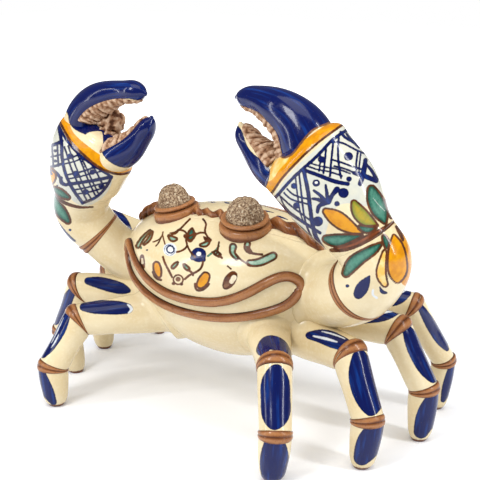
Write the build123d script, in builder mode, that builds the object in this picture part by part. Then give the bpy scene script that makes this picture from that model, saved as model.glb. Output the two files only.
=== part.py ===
from build123d import *
from math import sqrt
import os

# Glazed ceramic crab, standing on eight feet with both claws raised.
# It faces -Y, its right claw is at +X, and the table is at Z = 0.

# Body, a wide bowl closed by a lower crown
body_width = 142.0
body_depth = 98.0
crown_height = 28.0
bowl_depth = 60.0
rim_height = 90.0
body_setback = 10.5
shell_wall = 5.0
seam_drop = 0.55
seam_above_rim = 11.0
vent_radius = 3.0

# Legs: how far the feet spread, how high the knees stand, how thick they are
stance_width = 236.0
stance_depth = 128.0
knee_height = 60.0
leg_radius = 8.6

# Claws: how far the elbows reach out from the body's sides, how high the fingers stand,
# how far they lean forward
claw_reach = 47.0
claw_height = 188.0
claw_lean = 31.0
palm_radius = 26.0
tooth_radius = 5.4
teeth_per_finger = 7

# Coils of clay laid over the joints and on the face
collar_radius = 1.7
collar_spacing = 2.4
collar_seat = -0.5
collar_start = 35.0
lip_radius = 2.5
brow_radius = 3.6
brow_flatness = 0.7
brow_twist = 60.0

# Eyes: a domed grit cone in a double ring
eye_radius = 9.6
eye_height = 13.5
eye_shoulder_share = 0.68
eye_spreads = {"right": 22.5, "left": 26.5}
eye_above_rim = 23.5
eye_lower_lip = 2.8
eye_lift = 1.0
eye_upper_lip = 2.1
eye_tilt = 0.8

# Each leg row is hip, knee, ankle and sole. The hip is in shares of half the body's
# width, half its depth and its rim height, and the rest in shares of half the stance
# width, half the stance depth and the knee height. The limbs are shaped by hand, so
# left and right differ a little.
leg_names = ("front", "second", "third", "rear")
leg_place_shares = {
    "right": (
        ((0.283, -0.018, 0.667), (0.56, -0.73, 0.9), (0.66, -0.99, 0.43), (0.64, -0.98, 0.0)),
        ((0.399, -0.031, 0.6), (0.79, -0.26, 0.94), (0.92, -0.37, 0.45), (0.9, -0.38, 0.0)),
        ((0.565, 0.178, 0.713), (0.87, 0.27, 1.03), (1.0, 0.34, 0.51), (0.985, 0.34, 0.0)),
        ((0.548, 0.413, 0.793), (0.82, 0.72, 1.11), (0.935, 0.97, 0.53), (0.9, 1.01, 0.0)),
    ),
    "left": (
        ((-0.249, -0.031, 0.6), (-0.62, -0.73, 0.83), (-0.68, -0.98, 0.4), (-0.675, -0.97, 0.0)),
        ((-0.382, 0.008, 0.613), (-0.85, -0.25, 0.93), (-0.94, -0.32, 0.45), (-0.89, -0.3, 0.0)),
        ((-0.548, 0.178, 0.727), (-0.88, 0.27, 0.95), (-1.01, 0.33, 0.46), (-1.005, 0.34, 0.0)),
        ((-0.515, 0.53, 0.787), (-0.97, 0.5, 1.42), (-0.935, 0.94, 0.55), (-0.9, 1.01, 0.0)),
    ),
}
leg_thickness_shares = (1.0, 1.0, 0.95, 0.8)

# Stations along a leg: which stretch, how far along it, and the thickness
thigh_shares = ((0.0, 1.42), (0.42, 1.45), (0.62, 1.34), (0.8, 1.2))
shin_shares = ((0.3, 1.05), (0.68, 1.0))
foot_shares = ((0.35, 0.98), (0.7, 0.86), (0.9, 0.70))
knee_share = 1.06
ankle_share = 0.98
sole_share = 0.50

# Stations along an arm and claw: shares of the claw's reach out from the body's side,
# its lean and its height, then half width and half thickness as shares of the palm's radius
arm_shares = {
    "right": (
        (-0.356, 0.47, 0.41, 0.78, 0.78),
        (0.146, -0.12, 0.447, 0.70, 0.68),
        (0.54, -0.41, 0.5, 0.68, 0.67),
        (0.71, -0.51, 0.556, 0.70, 0.68),
        (0.761, -0.60, 0.606, 0.69, 0.68),
        (0.649, -0.68, 0.653, 0.67, 0.65),
        (0.523, -0.76, 0.70, 0.79, 0.74),
        (0.385, -0.84, 0.753, 0.93, 0.81),
        (0.071, -1.0, 0.85, 1.0, 0.77),
        (-0.029, -1.04, 0.88, 0.86, 0.62),
        (-0.08, -1.06, 0.895, 0.50, 0.35),
    ),
    "left": (
        (-0.356, 0.40, 0.375, 0.64, 0.64),
        (0.046, -0.06, 0.415, 0.57, 0.57),
        (0.335, -0.39, 0.497, 0.56, 0.57),
        (0.473, -0.53, 0.548, 0.62, 0.62),
        (0.498, -0.61, 0.583, 0.64, 0.62),
        (0.385, -0.71, 0.64, 0.68, 0.66),
        (0.33, -0.77, 0.677, 0.80, 0.72),
        (0.25, -0.84, 0.715, 0.92, 0.77),
        (-0.03, -1.0, 0.802, 1.0, 0.77),
        (-0.142, -1.04, 0.832, 0.80, 0.60),
        (-0.18, -1.06, 0.847, 0.48, 0.34),
    ),
}
elbow_station = 2
palm_station = 5
upper_finger_shares = {
    "right": (
        (0.197, -0.97, 0.82, 0.50, 0.50),
        (0.071, -1.0, 0.892, 0.60, 0.55),
        (-0.085, -1.0, 0.951, 0.50, 0.46),
        (-0.348, -1.0, 0.987, 0.365, 0.38),
        (-0.624, -0.97, 1.002, 0.25, 0.27),
        (-0.825, -0.97, 1.002, 0.12, 0.13),
        (-0.865, -0.97, 1.0, 0.05, 0.05),
    ),
    "left": (
        (0.096, -0.97, 0.80, 0.35, 0.42),
        (0.171, -1.0, 0.87, 0.37, 0.44),
        (0.033, -1.0, 0.928, 0.35, 0.41),
        (-0.255, -1.0, 0.968, 0.31, 0.36),
        (-0.557, -0.97, 0.985, 0.23, 0.27),
        (-0.808, -0.97, 0.984, 0.12, 0.13),
        (-0.845, -0.97, 0.982, 0.05, 0.05),
    ),
}
lower_finger_shares = {
    "right": (
        (-0.18, -1.0, 0.79, 0.33, 0.42),
        (-0.331, -1.0, 0.81, 0.35, 0.45),
        (-0.531, -0.97, 0.844, 0.32, 0.35),
        (-0.72, -0.90, 0.878, 0.23, 0.27),
        (-0.853, -0.87, 0.917, 0.10, 0.12),
        (-0.865, -0.87, 0.924, 0.05, 0.05),
    ),
    "left": (
        (-0.23, -1.0, 0.75, 0.33, 0.42),
        (-0.368, -1.0, 0.78, 0.35, 0.45),
        (-0.582, -0.97, 0.815, 0.32, 0.35),
        (-0.737, -0.90, 0.857, 0.23, 0.27),
        (-0.865, -0.87, 0.904, 0.10, 0.12),
        (-0.875, -0.87, 0.911, 0.05, 0.05),
    ),
}
inner_face_share = 0.95
tooth_reach_shares = (0.34, 0.92)
tooth_taper_share = 0.5

# Right half of the mouth loop: shares of half the body's width and of the bowl's depth
upper_lip_shares = ((0.0, -0.252), (0.31, -0.214), (0.575, -0.065), (0.73, 0.05), (0.81, 0.05))
lip_corner_share = (0.86, -0.035)
lower_lip_shares = ((0.82, -0.145), (0.64, -0.285), (0.31, -0.38), (0.0, -0.4))

# Right brow: shares of the way from the eye's ring to the body's side, of the crown's
# height there, and the thickness
brow_shares = (
    (0.047, 0.95, 1.0), (0.204, 0.968, 0.95), (0.414, 0.978, 0.9), (0.644, 0.975, 0.8), (0.812, 0.95, 0.55)
)

# Middle brow: shares of the eyes' spread, of the crown's height there, and the thickness
middle_brow_shares = (
    (-0.53, 0.93, 0.7), (-0.28, 0.945, 0.8), (0.0, 0.94, 0.68), (0.28, 0.945, 0.8), (0.53, 0.93, 0.7)
)

sides = {"right": 1, "left": -1}
up = Vector(0, 0, 1)
across = Vector(0, 1, 0)
body_centre = Vector(0, body_setback, rim_height)


def oval(centre, direction, side, half_width, half_depth, turn=0):
    """A filled ellipse square to direction, with its depth along side."""
    plane = Plane(origin=centre, x_dir=side.cross(direction), z_dir=direction)
    with BuildSketch(plane) as section:
        Ellipse(half_width, half_depth, rotation=turn)
    return section.sketch


def save(part, name):
    part.label = name
    export_step(part, f"parts/{name}.step")


def egg(width, depth, crown, bowl):
    """A round bowl and crown that meet at their widest line, flattened from back to front."""
    with BuildPart() as form:
        with BuildSketch(Plane.XZ):
            with BuildLine():
                EllipticalCenterArc((0, 0), width / 2, crown, 0, arc_size=90)
                Line((0, crown), (0, -bowl))
                EllipticalCenterArc((0, 0), width / 2, bowl, 270, arc_size=90)
            make_face()
        revolve(axis=Axis.Z)
        scale(by=(1, depth / width, 1))
    return form.part.moved(Location(body_centre))


def on_face(x, height):
    """The point on the front of the body at x and at a height measured from its widest line."""
    reach = crown_height if height > 0 else bowl_depth
    share = 1 - (2 * x / body_width) ** 2 - (height / reach) ** 2
    return body_centre + Vector(x, -body_depth / 2 * sqrt(max(0, share)), height)


def on_crown(x, share):
    """The point on the front of the body at x and at a share of the crown's height there."""
    return on_face(x, share * crown_height * sqrt(1 - (2 * x / body_width) ** 2))


def outward(point):
    """The direction square to the body's surface at a point on it."""
    away = point - body_centre
    reach = crown_height if away.Z > 0 else bowl_depth
    return Vector(away.X / body_width**2, away.Y / body_depth**2, away.Z / (2 * reach) ** 2).normalized()


def coil(points, radii, turns=None, flatness=1.0):
    """Sections of a clay coil laid along points on the body's face."""
    sections = []
    for i, point in enumerate(points):
        before = points[max(i - 1, 0)]
        after = points[min(i + 1, len(points) - 1)]
        direction = (after - before).normalized()
        turn = turns[i] if turns else 0
        sections.append(oval(point, direction, outward(point), radii[i], radii[i] * flatness, turn))
    return sections


def collar_ring(plane, half_width, half_depth):
    """A double coil round an oval joint, before the limb is cut out of it."""
    with BuildPart() as ring:
        with BuildLine(plane) as path:
            EllipticalCenterArc(
                (0, 0), half_width + collar_seat, half_depth + collar_seat, collar_start, arc_size=360
            )
        with BuildSketch(Plane(origin=path.line @ 0, z_dir=path.line % 0, x_dir=plane.x_dir)):
            with Locations((0, collar_spacing / 2), (0, -collar_spacing / 2)):
                Circle(collar_radius)
        sweep(path=path.line)
    return ring.part


def stations(shares, sign):
    """Centres, directions, half widths and half depths from a table of claw shares."""
    centres = [
        Vector(sign * (body_width / 2 + x * claw_reach), y * claw_lean, z * claw_height)
        for x, y, z, _, _ in shares
    ]
    last = len(centres) - 1
    rows = []
    for i, (_, _, _, width, depth) in enumerate(shares):
        direction = (centres[min(i + 1, last)] - centres[max(i - 1, 0)]).normalized()
        rows.append((centres[i], direction, width * palm_radius, depth * palm_radius))
    return rows


def ovals(rows):
    return [oval(centre, direction, across, width, depth) for centre, direction, width, depth in rows]


def finger_ovals(rows):
    """Ovals whose seam runs along the back, clear of the palm's own seam."""
    return [oval(centre, direction, across, depth, width, 90) for centre, direction, width, depth in rows]


def teeth_places(rows, towards):
    """Places for the rough teeth along the inner face of a finger, with a radius for each."""
    first, last = tooth_reach_shares
    places = []
    for i in range(teeth_per_finger):
        share = first + (last - first) * i / (teeth_per_finger - 1)
        step = share * (len(rows) - 2)
        row = int(step)
        part = step - row
        centre = rows[row][0] * (1 - part) + rows[row + 1][0] * part
        width = rows[row][2] * (1 - part) + rows[row + 1][2] * part
        direction = rows[row][1]
        inner = across.cross(direction) * towards
        radius = tooth_radius * (1 - tooth_taper_share * i / (teeth_per_finger - 1))
        places.append((centre + inner * width * inner_face_share, radius))
    return places


def rounds(start, end, side, radius, shares):
    """Round sections between two joints of a leg."""
    span = end - start
    places = [(start + span * along, swell * radius) for along, swell in shares]
    return [oval(place, span.normalized(), side, size, size) for place, size in places]


os.makedirs("parts", exist_ok=True)

# The hollow body: the bowl carries the face and the limbs, the carapace closes it
outer = egg(body_width, body_depth, crown_height, bowl_depth)
inner = egg(
    body_width - 2 * shell_wall,
    body_depth - 2 * shell_wall,
    crown_height - shell_wall,
    bowl_depth - shell_wall,
)
seam = Plane(origin=body_centre + up * seam_above_rim, z_dir=(0, seam_drop, 1))

with BuildPart() as carapace:
    add(outer)
    add(inner, mode=Mode.SUBTRACT)
    split(bisect_by=seam, keep=Keep.TOP)
save(carapace.part, "carapace")

with BuildPart() as bowl:
    add(outer)
    add(inner, mode=Mode.SUBTRACT)
    split(bisect_by=seam, keep=Keep.BOTTOM)
    with Locations(body_centre - up * bowl_depth):
        Cylinder(vent_radius, 4 * shell_wall, mode=Mode.SUBTRACT)
save(bowl.part, "face_and_belly")

# Arms, elbows, palms, fingers and their rough inner teeth
arms = {}
for side, sign in sides.items():
    rows = stations(arm_shares[side], sign)

    with BuildPart() as arm:
        loft(sections=ovals(rows[: elbow_station + 1]))
        add(outer, mode=Mode.SUBTRACT)
    arms[side] = arm.part
    save(arm.part, f"{side}_arm")

    with BuildPart() as elbow:
        loft(sections=ovals(rows[elbow_station : palm_station + 1]))
    save(elbow.part, f"{side}_elbow")

    centre, direction, width, depth = rows[elbow_station]
    bend = Plane(origin=centre, x_dir=across.cross(direction), z_dir=direction)
    with BuildPart() as elbow_collar:
        add(collar_ring(bend, width, depth))
        add(arm.part + elbow.part, mode=Mode.SUBTRACT)
        add(outer, mode=Mode.SUBTRACT)
    save(elbow_collar.part, f"{side}_elbow_collar")

    with BuildPart() as palm:
        loft(sections=ovals(rows[palm_station:]))
    save(palm.part, f"{side}_palm")

    other_teeth = None
    for finger_name, shares, towards in (
        ("upper_finger", upper_finger_shares[side], -sign),
        ("lower_finger", lower_finger_shares[side], sign),
    ):
        finger_rows = stations(shares, sign)
        with BuildPart() as finger:
            loft(sections=finger_ovals(finger_rows))
            add(palm.part, mode=Mode.SUBTRACT)
        save(finger.part, f"{side}_{finger_name}")

        with BuildPart() as teeth:
            for place, radius in teeth_places(finger_rows, towards):
                with Locations(place):
                    Sphere(radius)
            add(finger.part, mode=Mode.SUBTRACT)
            add(palm.part, mode=Mode.SUBTRACT)
            if other_teeth:
                add(other_teeth, mode=Mode.SUBTRACT)
        other_teeth = teeth.part
        save(teeth.part, f"{side}_{finger_name}_teeth")

# Eight legs of thigh, shin and foot, with a coil at each knee and ankle
front_thighs = []
for side in sides:
    neighbour = None
    for name, row, thickness in zip(leg_names, leg_place_shares[side], leg_thickness_shares):
        radius = leg_radius * thickness
        x, y, z = row[0]
        hip = Vector(x * body_width / 2, body_setback + y * body_depth / 2, z * rim_height)
        knee, ankle, sole = (
            Vector(x * stance_width / 2, y * stance_depth / 2, z * knee_height) for x, y, z in row[1:]
        )
        lines = ((knee - hip).normalized(), (ankle - knee).normalized(), (sole - ankle).normalized())
        side_axis = lines[0].cross(lines[1]).normalized()
        knee_turn = (lines[0] + lines[1]).normalized()
        ankle_turn = (lines[1] + lines[2]).normalized()
        knee_size = radius * knee_share
        ankle_size = radius * ankle_share
        knee_width = knee_size / knee_turn.dot(lines[0])
        ankle_width = ankle_size / ankle_turn.dot(lines[1])
        at_knee = oval(knee, knee_turn, side_axis, knee_width, knee_size)
        at_ankle = oval(ankle, ankle_turn, side_axis, ankle_width, ankle_size)

        with BuildPart() as thigh:
            loft(sections=[*rounds(hip, knee, side_axis, radius, thigh_shares), at_knee])
            add(outer, mode=Mode.SUBTRACT)
            add(arms[side], mode=Mode.SUBTRACT)
            if neighbour:
                add(neighbour, mode=Mode.SUBTRACT)
        neighbour = thigh.part
        if name == leg_names[0]:
            front_thighs.append(thigh.part)
        save(thigh.part, f"{side}_{name}_thigh")

        with BuildPart() as shin:
            loft(sections=[at_knee, *rounds(knee, ankle, side_axis, radius, shin_shares), at_ankle])
        save(shin.part, f"{side}_{name}_shin")

        with BuildPart() as foot:
            pad = oval(sole, up * -1, side_axis, sole_share * radius, sole_share * radius)
            loft(sections=[at_ankle, *rounds(ankle, sole, side_axis, radius, foot_shares), pad])
        save(foot.part, f"{side}_{name}_foot")

        knee_plane = Plane(origin=knee, x_dir=side_axis.cross(knee_turn), z_dir=knee_turn)
        ankle_plane = Plane(origin=ankle, x_dir=side_axis.cross(ankle_turn), z_dir=ankle_turn)
        with BuildPart() as collars:
            add(collar_ring(knee_plane, knee_width, knee_size))
            add(collar_ring(ankle_plane, ankle_width, ankle_size))
            add(thigh.part + shin.part + foot.part, mode=Mode.SUBTRACT)
        save(collars.part, f"{side}_{name}_leg_collars")

# Eyes: a double ring on the brow, filled by a domed cone of grit
eye_rings = {}
for side, sign in sides.items():
    foot_point = on_face(sign * eye_spreads[side], eye_above_rim)
    axis = (outward(foot_point) * eye_tilt + up * (1 - eye_tilt)).normalized()
    seat = foot_point + axis * eye_lift
    upright = Plane(origin=seat, x_dir=across.cross(axis), z_dir=across.cross(axis).cross(axis))
    line = Axis(seat, axis)
    sunk = eye_lower_lip * 3

    with BuildPart() as ring:
        with BuildSketch(upright):
            with Locations((eye_radius + eye_lower_lip / 2, -sunk / 2)):
                Rectangle(2 * eye_lower_lip, sunk)
            with Locations((eye_radius + eye_lower_lip / 2, 0)):
                Circle(eye_lower_lip)
            with Locations((eye_radius + eye_upper_lip / 3, eye_lower_lip + eye_upper_lip / 2)):
                Circle(eye_upper_lip)
            with Locations((eye_radius / 2, 0)):
                Rectangle(eye_radius, 4 * sunk, mode=Mode.SUBTRACT)
        revolve(axis=line)
        add(outer, mode=Mode.SUBTRACT)
    eye_rings[side] = ring.part
    save(ring.part, f"{side}_eye_ring")

    dome_foot = eye_lower_lip
    with BuildPart() as cone:
        with BuildSketch(upright):
            with BuildLine():
                dome_top = (0, dome_foot + eye_height)
                dome_edge = (eye_radius, dome_foot)
                shoulder = (eye_shoulder_share * eye_radius, dome_foot + eye_shoulder_share * eye_height)
                Polyline(dome_top, (0, -sunk), (eye_radius, -sunk), dome_edge)
                Spline(dome_edge, shoulder, dome_top, tangents=((0, 1), (-1, 0)))
            make_face()
        revolve(axis=line)
        add(outer, mode=Mode.SUBTRACT)
    save(cone.part, f"{side}_eye")

# Twisted brow ropes, tapering from the eyes to the sides, and one between the eyes
brow_foot = eye_radius + eye_lower_lip
between_eyes = (eye_spreads["right"] + eye_spreads["left"]) / 2
middle = (eye_spreads["right"] - eye_spreads["left"]) / 2
right_root = eye_spreads["right"] + brow_foot
left_root = eye_spreads["left"] + brow_foot
for name, sign, shares, start, reach in (
    ("right_brow", 1, brow_shares, right_root, body_width / 2 - right_root),
    ("left_brow", -1, brow_shares, left_root, body_width / 2 - left_root),
    ("middle_brow", 1, middle_brow_shares, middle, between_eyes),
):
    points = [on_crown(sign * (start + along * reach), height) for along, height, _ in shares]
    radii = [brow_radius * swell for _, _, swell in shares]
    turns = [sign * brow_twist * i for i in range(len(shares))]
    with BuildPart() as brow:
        loft(sections=coil(points, radii, turns, brow_flatness))
        add(outer, mode=Mode.SUBTRACT)
        for beside in (*eye_rings.values(), *arms.values()):
            add(beside, mode=Mode.SUBTRACT)
    save(brow.part, name)

# The smile: two coils that meet at the corners of the mouth
corner = lip_corner_share
for name, half in (
    ("upper_lip", (corner, *reversed(upper_lip_shares))),
    ("lower_lip", (corner, *lower_lip_shares)),
):
    mirrored = [(-x, z) for x, z in reversed(half[:-1])]
    points = [on_face(x * body_width / 2, z * bowl_depth) for x, z in (*half, *mirrored)]
    sections = coil(points, [lip_radius] * len(points))
    ends = (up, up * -1) if name == "upper_lip" else (up * -1, up)
    sections[0] = oval(points[0], ends[0], outward(points[0]), lip_radius, lip_radius)
    sections[-1] = oval(points[-1], ends[1], outward(points[-1]), lip_radius, lip_radius)
    with BuildPart() as lip:
        loft(sections=sections)
        add(outer, mode=Mode.SUBTRACT)
        for beside in (*arms.values(), *front_thighs):
            add(beside, mode=Mode.SUBTRACT)
    save(lip.part, name)
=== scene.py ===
import bpy
import numpy as np
from mathutils import Matrix, Vector, noise


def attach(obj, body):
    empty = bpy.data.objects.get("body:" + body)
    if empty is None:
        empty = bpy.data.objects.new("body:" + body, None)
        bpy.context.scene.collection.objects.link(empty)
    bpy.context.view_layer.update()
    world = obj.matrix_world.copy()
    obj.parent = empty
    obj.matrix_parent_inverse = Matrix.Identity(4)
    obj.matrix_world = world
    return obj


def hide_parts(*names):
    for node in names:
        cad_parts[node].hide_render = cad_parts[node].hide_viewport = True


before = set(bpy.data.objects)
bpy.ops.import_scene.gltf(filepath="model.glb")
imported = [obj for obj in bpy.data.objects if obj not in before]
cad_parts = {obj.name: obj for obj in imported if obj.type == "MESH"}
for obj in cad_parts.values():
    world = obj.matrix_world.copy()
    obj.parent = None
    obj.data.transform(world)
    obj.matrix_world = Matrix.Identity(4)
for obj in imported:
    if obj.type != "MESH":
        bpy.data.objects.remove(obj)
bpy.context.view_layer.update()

# Lengths are millimetres in the frame of the model until a mesh is written
METRES = 0.001
up = np.array((0.0, 0.0, 1.0))
across = np.array((0.0, 1.0, 0.0))
legs = ("front", "second", "third", "rear")
sides = {"right": 1, "left": -1}

# Body
body_width = 142.0
body_depth = 98.0
crown_height = 28.0
bowl_depth = 60.0
rim_height = 90.0
body_setback = 10.5
shell_wall = 5.0
seam_drop = 0.55
seam_above_rim = 11.0
vent_radius = 3.0
vent_depth = 4.0
body_centre = np.array((0.0, body_setback, rim_height))

# Legs and claws
stance_width = 236.0
stance_depth = 128.0
knee_height = 60.0
leg_radius = 8.6
claw_reach = 47.0
claw_height = 188.0
claw_lean = 31.0
palm_radius = 26.0

# Each leg row is hip, knee, ankle and sole. The hip is in shares of half the body's
# width, half its depth and its rim height, and the rest in shares of half the stance
# width, half the stance depth and the knee height.
leg_place_shares = {
    "right": (
        ((0.283, -0.018, 0.667), (0.56, -0.73, 0.9), (0.66, -0.99, 0.43), (0.64, -0.98, 0.0)),
        ((0.399, -0.031, 0.6), (0.79, -0.26, 0.94), (0.92, -0.37, 0.45), (0.9, -0.38, 0.0)),
        ((0.565, 0.178, 0.713), (0.87, 0.27, 1.03), (1.0, 0.34, 0.51), (0.985, 0.34, 0.0)),
        ((0.548, 0.413, 0.793), (0.82, 0.72, 1.11), (0.935, 0.97, 0.53), (0.9, 1.01, 0.0)),
    ),
    "left": (
        ((-0.249, -0.031, 0.6), (-0.62, -0.73, 0.83), (-0.68, -0.98, 0.4), (-0.675, -0.97, 0.0)),
        ((-0.382, 0.008, 0.613), (-0.85, -0.25, 0.93), (-0.94, -0.32, 0.45), (-0.89, -0.3, 0.0)),
        ((-0.548, 0.178, 0.727), (-0.88, 0.27, 0.95), (-1.01, 0.33, 0.46), (-1.005, 0.34, 0.0)),
        ((-0.515, 0.53, 0.787), (-0.97, 0.5, 1.42), (-0.935, 0.94, 0.55), (-0.9, 1.01, 0.0)),
    ),
}
leg_thickness_shares = (1.0, 1.0, 0.95, 0.8)
thigh_shares = ((0.0, 1.42), (0.42, 1.45), (0.62, 1.34), (0.8, 1.2))
shin_shares = ((0.30, 1.05), (0.68, 1.0))
foot_shares = ((0.35, 0.98), (0.70, 0.86), (0.90, 0.70))
knee_share = 1.06
ankle_share = 0.98
sole_share = 0.50

# Stations along an arm and claw: shares of the claw's reach out from the body's side,
# its lean and its height, then half width and half thickness as shares of the palm's radius
arm_shares = {
    "right": (
        (-0.356, 0.47, 0.41, 0.78, 0.78),
        (0.146, -0.12, 0.447, 0.70, 0.68),
        (0.54, -0.41, 0.5, 0.68, 0.67),
        (0.71, -0.51, 0.556, 0.70, 0.68),
        (0.761, -0.60, 0.606, 0.69, 0.68),
        (0.649, -0.68, 0.653, 0.67, 0.65),
        (0.523, -0.76, 0.70, 0.79, 0.74),
        (0.385, -0.84, 0.753, 0.93, 0.81),
        (0.071, -1.0, 0.85, 1.0, 0.77),
        (-0.029, -1.04, 0.88, 0.86, 0.62),
        (-0.08, -1.06, 0.895, 0.50, 0.35),
    ),
    "left": (
        (-0.356, 0.40, 0.375, 0.64, 0.64),
        (0.046, -0.06, 0.415, 0.57, 0.57),
        (0.335, -0.39, 0.497, 0.56, 0.57),
        (0.473, -0.53, 0.548, 0.62, 0.62),
        (0.498, -0.61, 0.583, 0.64, 0.62),
        (0.385, -0.71, 0.64, 0.68, 0.66),
        (0.33, -0.77, 0.677, 0.80, 0.72),
        (0.25, -0.84, 0.715, 0.92, 0.77),
        (-0.03, -1.0, 0.802, 1.0, 0.77),
        (-0.142, -1.04, 0.832, 0.80, 0.60),
        (-0.18, -1.06, 0.847, 0.48, 0.34),
    ),
}
elbow_station = 2
palm_station = 5
finger_shares = {
    ("right", "upper"): (
        (0.197, -0.97, 0.82, 0.50, 0.50),
        (0.071, -1.0, 0.892, 0.60, 0.55),
        (-0.085, -1.0, 0.951, 0.50, 0.46),
        (-0.348, -1.0, 0.987, 0.365, 0.38),
        (-0.624, -0.97, 1.002, 0.25, 0.27),
        (-0.825, -0.97, 1.002, 0.12, 0.13),
        (-0.865, -0.97, 1.0, 0.05, 0.05),
    ),
    ("left", "upper"): (
        (0.096, -0.97, 0.80, 0.35, 0.42),
        (0.171, -1.0, 0.87, 0.37, 0.44),
        (0.033, -1.0, 0.928, 0.35, 0.41),
        (-0.255, -1.0, 0.968, 0.31, 0.36),
        (-0.557, -0.97, 0.985, 0.23, 0.27),
        (-0.808, -0.97, 0.984, 0.12, 0.13),
        (-0.845, -0.97, 0.982, 0.05, 0.05),
    ),
    ("right", "lower"): (
        (-0.18, -1.0, 0.79, 0.33, 0.42),
        (-0.331, -1.0, 0.81, 0.35, 0.45),
        (-0.531, -0.97, 0.844, 0.32, 0.35),
        (-0.72, -0.90, 0.878, 0.23, 0.27),
        (-0.853, -0.87, 0.917, 0.10, 0.12),
        (-0.865, -0.87, 0.924, 0.05, 0.05),
    ),
    ("left", "lower"): (
        (-0.23, -1.0, 0.75, 0.33, 0.42),
        (-0.368, -1.0, 0.78, 0.35, 0.45),
        (-0.582, -0.97, 0.815, 0.32, 0.35),
        (-0.737, -0.90, 0.857, 0.23, 0.27),
        (-0.865, -0.87, 0.904, 0.10, 0.12),
        (-0.875, -0.87, 0.911, 0.05, 0.05),
    ),
}

# Lips, in shares of half the body's width and of the bowl's depth
lip_radius = 2.8
upper_lip_shares = ((0.0, -0.252), (0.31, -0.214), (0.575, -0.065), (0.73, 0.05), (0.81, 0.05))
lip_corner_share = (0.86, -0.035)
lip_hook_share = (0.848, -0.092)
lower_lip_shares = ((0.82, -0.145), (0.64, -0.285), (0.31, -0.38), (0.0, -0.4))

# Brows, in shares of the way along them, of the crown's height there, and the thickness
brow_radius = 4.6
brow_flat_share = 0.75
brow_twist = np.radians(60)
brow_overlap = 5.0
brow_shares = (
    (0.047, 0.95, 1.0), (0.204, 0.968, 0.95), (0.414, 0.978, 0.9), (0.644, 0.975, 0.8), (0.812, 0.95, 0.55)
)
middle_brow_shares = (
    (-0.53, 0.93, 0.7), (-0.28, 0.945, 0.8), (0.0, 0.94, 0.68), (0.28, 0.945, 0.8), (0.53, 0.93, 0.7)
)
# Twist of each brow as a multiple, depth of its grooves as a share, rise of its line in shares
# of the crown's height, how far it is lifted off the body, and its thickness as a multiple
brow_forms = {
    "right": (2.0, 0.22, 0.006, 0.3, 1.25),
    "left": (3.0, 0.42, -0.012, 1.8, 1.1),
    "middle": (2.5, 0.42, -0.012, 0.0, 1.1),
}

# Eyes: the two rolls of a ring, then for each eye its size, its place on the face, the lift
# of its ring and the height of its dome
eye_radius = 9.6
eye_lower_lip = 2.8
eye_upper_lip = 2.1
eye_tilt = 0.8
eye_size_shares = {"right": 1.13, "left": 1.02}
eye_spreads = {"right": 21.2, "left": 30.4}
eye_rises = {"right": 24.1, "left": 23.5}
eye_lifts = {"right": 1.0, "left": 1.4}
eye_tops = {"right": 13.6, "left": 13.6}

# The photographer's viewpoint, and the photograph's frame
photo_pixels = 480
photo_focal = 1058.0
photo_azimuth = np.radians(35.84)
photo_elevation = np.radians(15.94)
photo_roll = np.radians(-0.14)
photo_distance = 578.0
photo_target = np.array((22.4, -16.5, 107.5))
sensor_width = 36.0
pixel_size = photo_distance / photo_focal


def unit(vectors):
    vectors = np.asarray(vectors, float)
    return vectors / np.linalg.norm(vectors, axis=-1, keepdims=True)


def dot(a, b):
    return (a * b).sum(-1)


def bearing(azimuth, elevation):
    """The direction at an angle round the object and an angle above the table."""
    level = np.cos(elevation)
    return np.array((np.sin(azimuth) * level, -np.cos(azimuth) * level, np.sin(elevation)))


def view_axes():
    """Right, up and back directions of the photographer's view."""
    back = bearing(photo_azimuth, photo_elevation)
    level = np.array((np.cos(photo_azimuth), np.sin(photo_azimuth), 0.0))
    upright = np.cross(back, level)
    right = level * np.cos(photo_roll) + upright * np.sin(photo_roll)
    return right, np.cross(back, right), back


view_right, view_up, view_back = view_axes()
viewpoint = photo_target + view_back * photo_distance


def to_photo(points):
    """Pixels of the photograph at which points appear."""
    away = points - viewpoint
    depth = -away @ view_back
    x = photo_pixels / 2 + photo_focal * (away @ view_right) / depth
    y = photo_pixels / 2 - photo_focal * (away @ view_up) / depth
    return np.stack((x, y), -1)


def smooth_step(x):
    x = np.clip(x, 0, 1)
    return x * x * (3 - 2 * x)


def natural_curve(knots, values):
    """A natural cubic curve through values at knots, as a function of the knots' measure."""
    knots = np.asarray(knots, float)
    values = np.asarray(values, float)
    count = len(knots)
    gaps = np.diff(knots)
    slopes = (np.diff(values, axis=0).T / gaps).T
    matrix = np.eye(count)
    right = np.zeros_like(values)
    for i in range(1, count - 1):
        matrix[i, i - 1] = gaps[i - 1]
        matrix[i, i] = 2 * (gaps[i - 1] + gaps[i])
        matrix[i, i + 1] = gaps[i]
        right[i] = 6 * (slopes[i] - slopes[i - 1])
    bends = np.linalg.solve(matrix, right)

    def at(places):
        places = np.atleast_1d(places)
        k = np.clip(np.searchsorted(knots, places, "right") - 1, 0, count - 2)
        wide = gaps[k][:, None]
        before = (places - knots[k])[:, None]
        after = wide - before
        straight = values[k] * after / wide + values[k + 1] * before / wide
        low = bends[k] * after * (after * after - wide * wide) / (6 * wide)
        high = bends[k + 1] * before * (before * before - wide * wide) / (6 * wide)
        return straight + low + high

    return at


def chord_measure(points):
    steps = np.linalg.norm(np.diff(np.asarray(points, float), axis=0), axis=1)
    return np.concatenate(([0.0], np.cumsum(steps)))


# No section of a limb is taken as thinner than this
thinnest = 0.1


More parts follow.
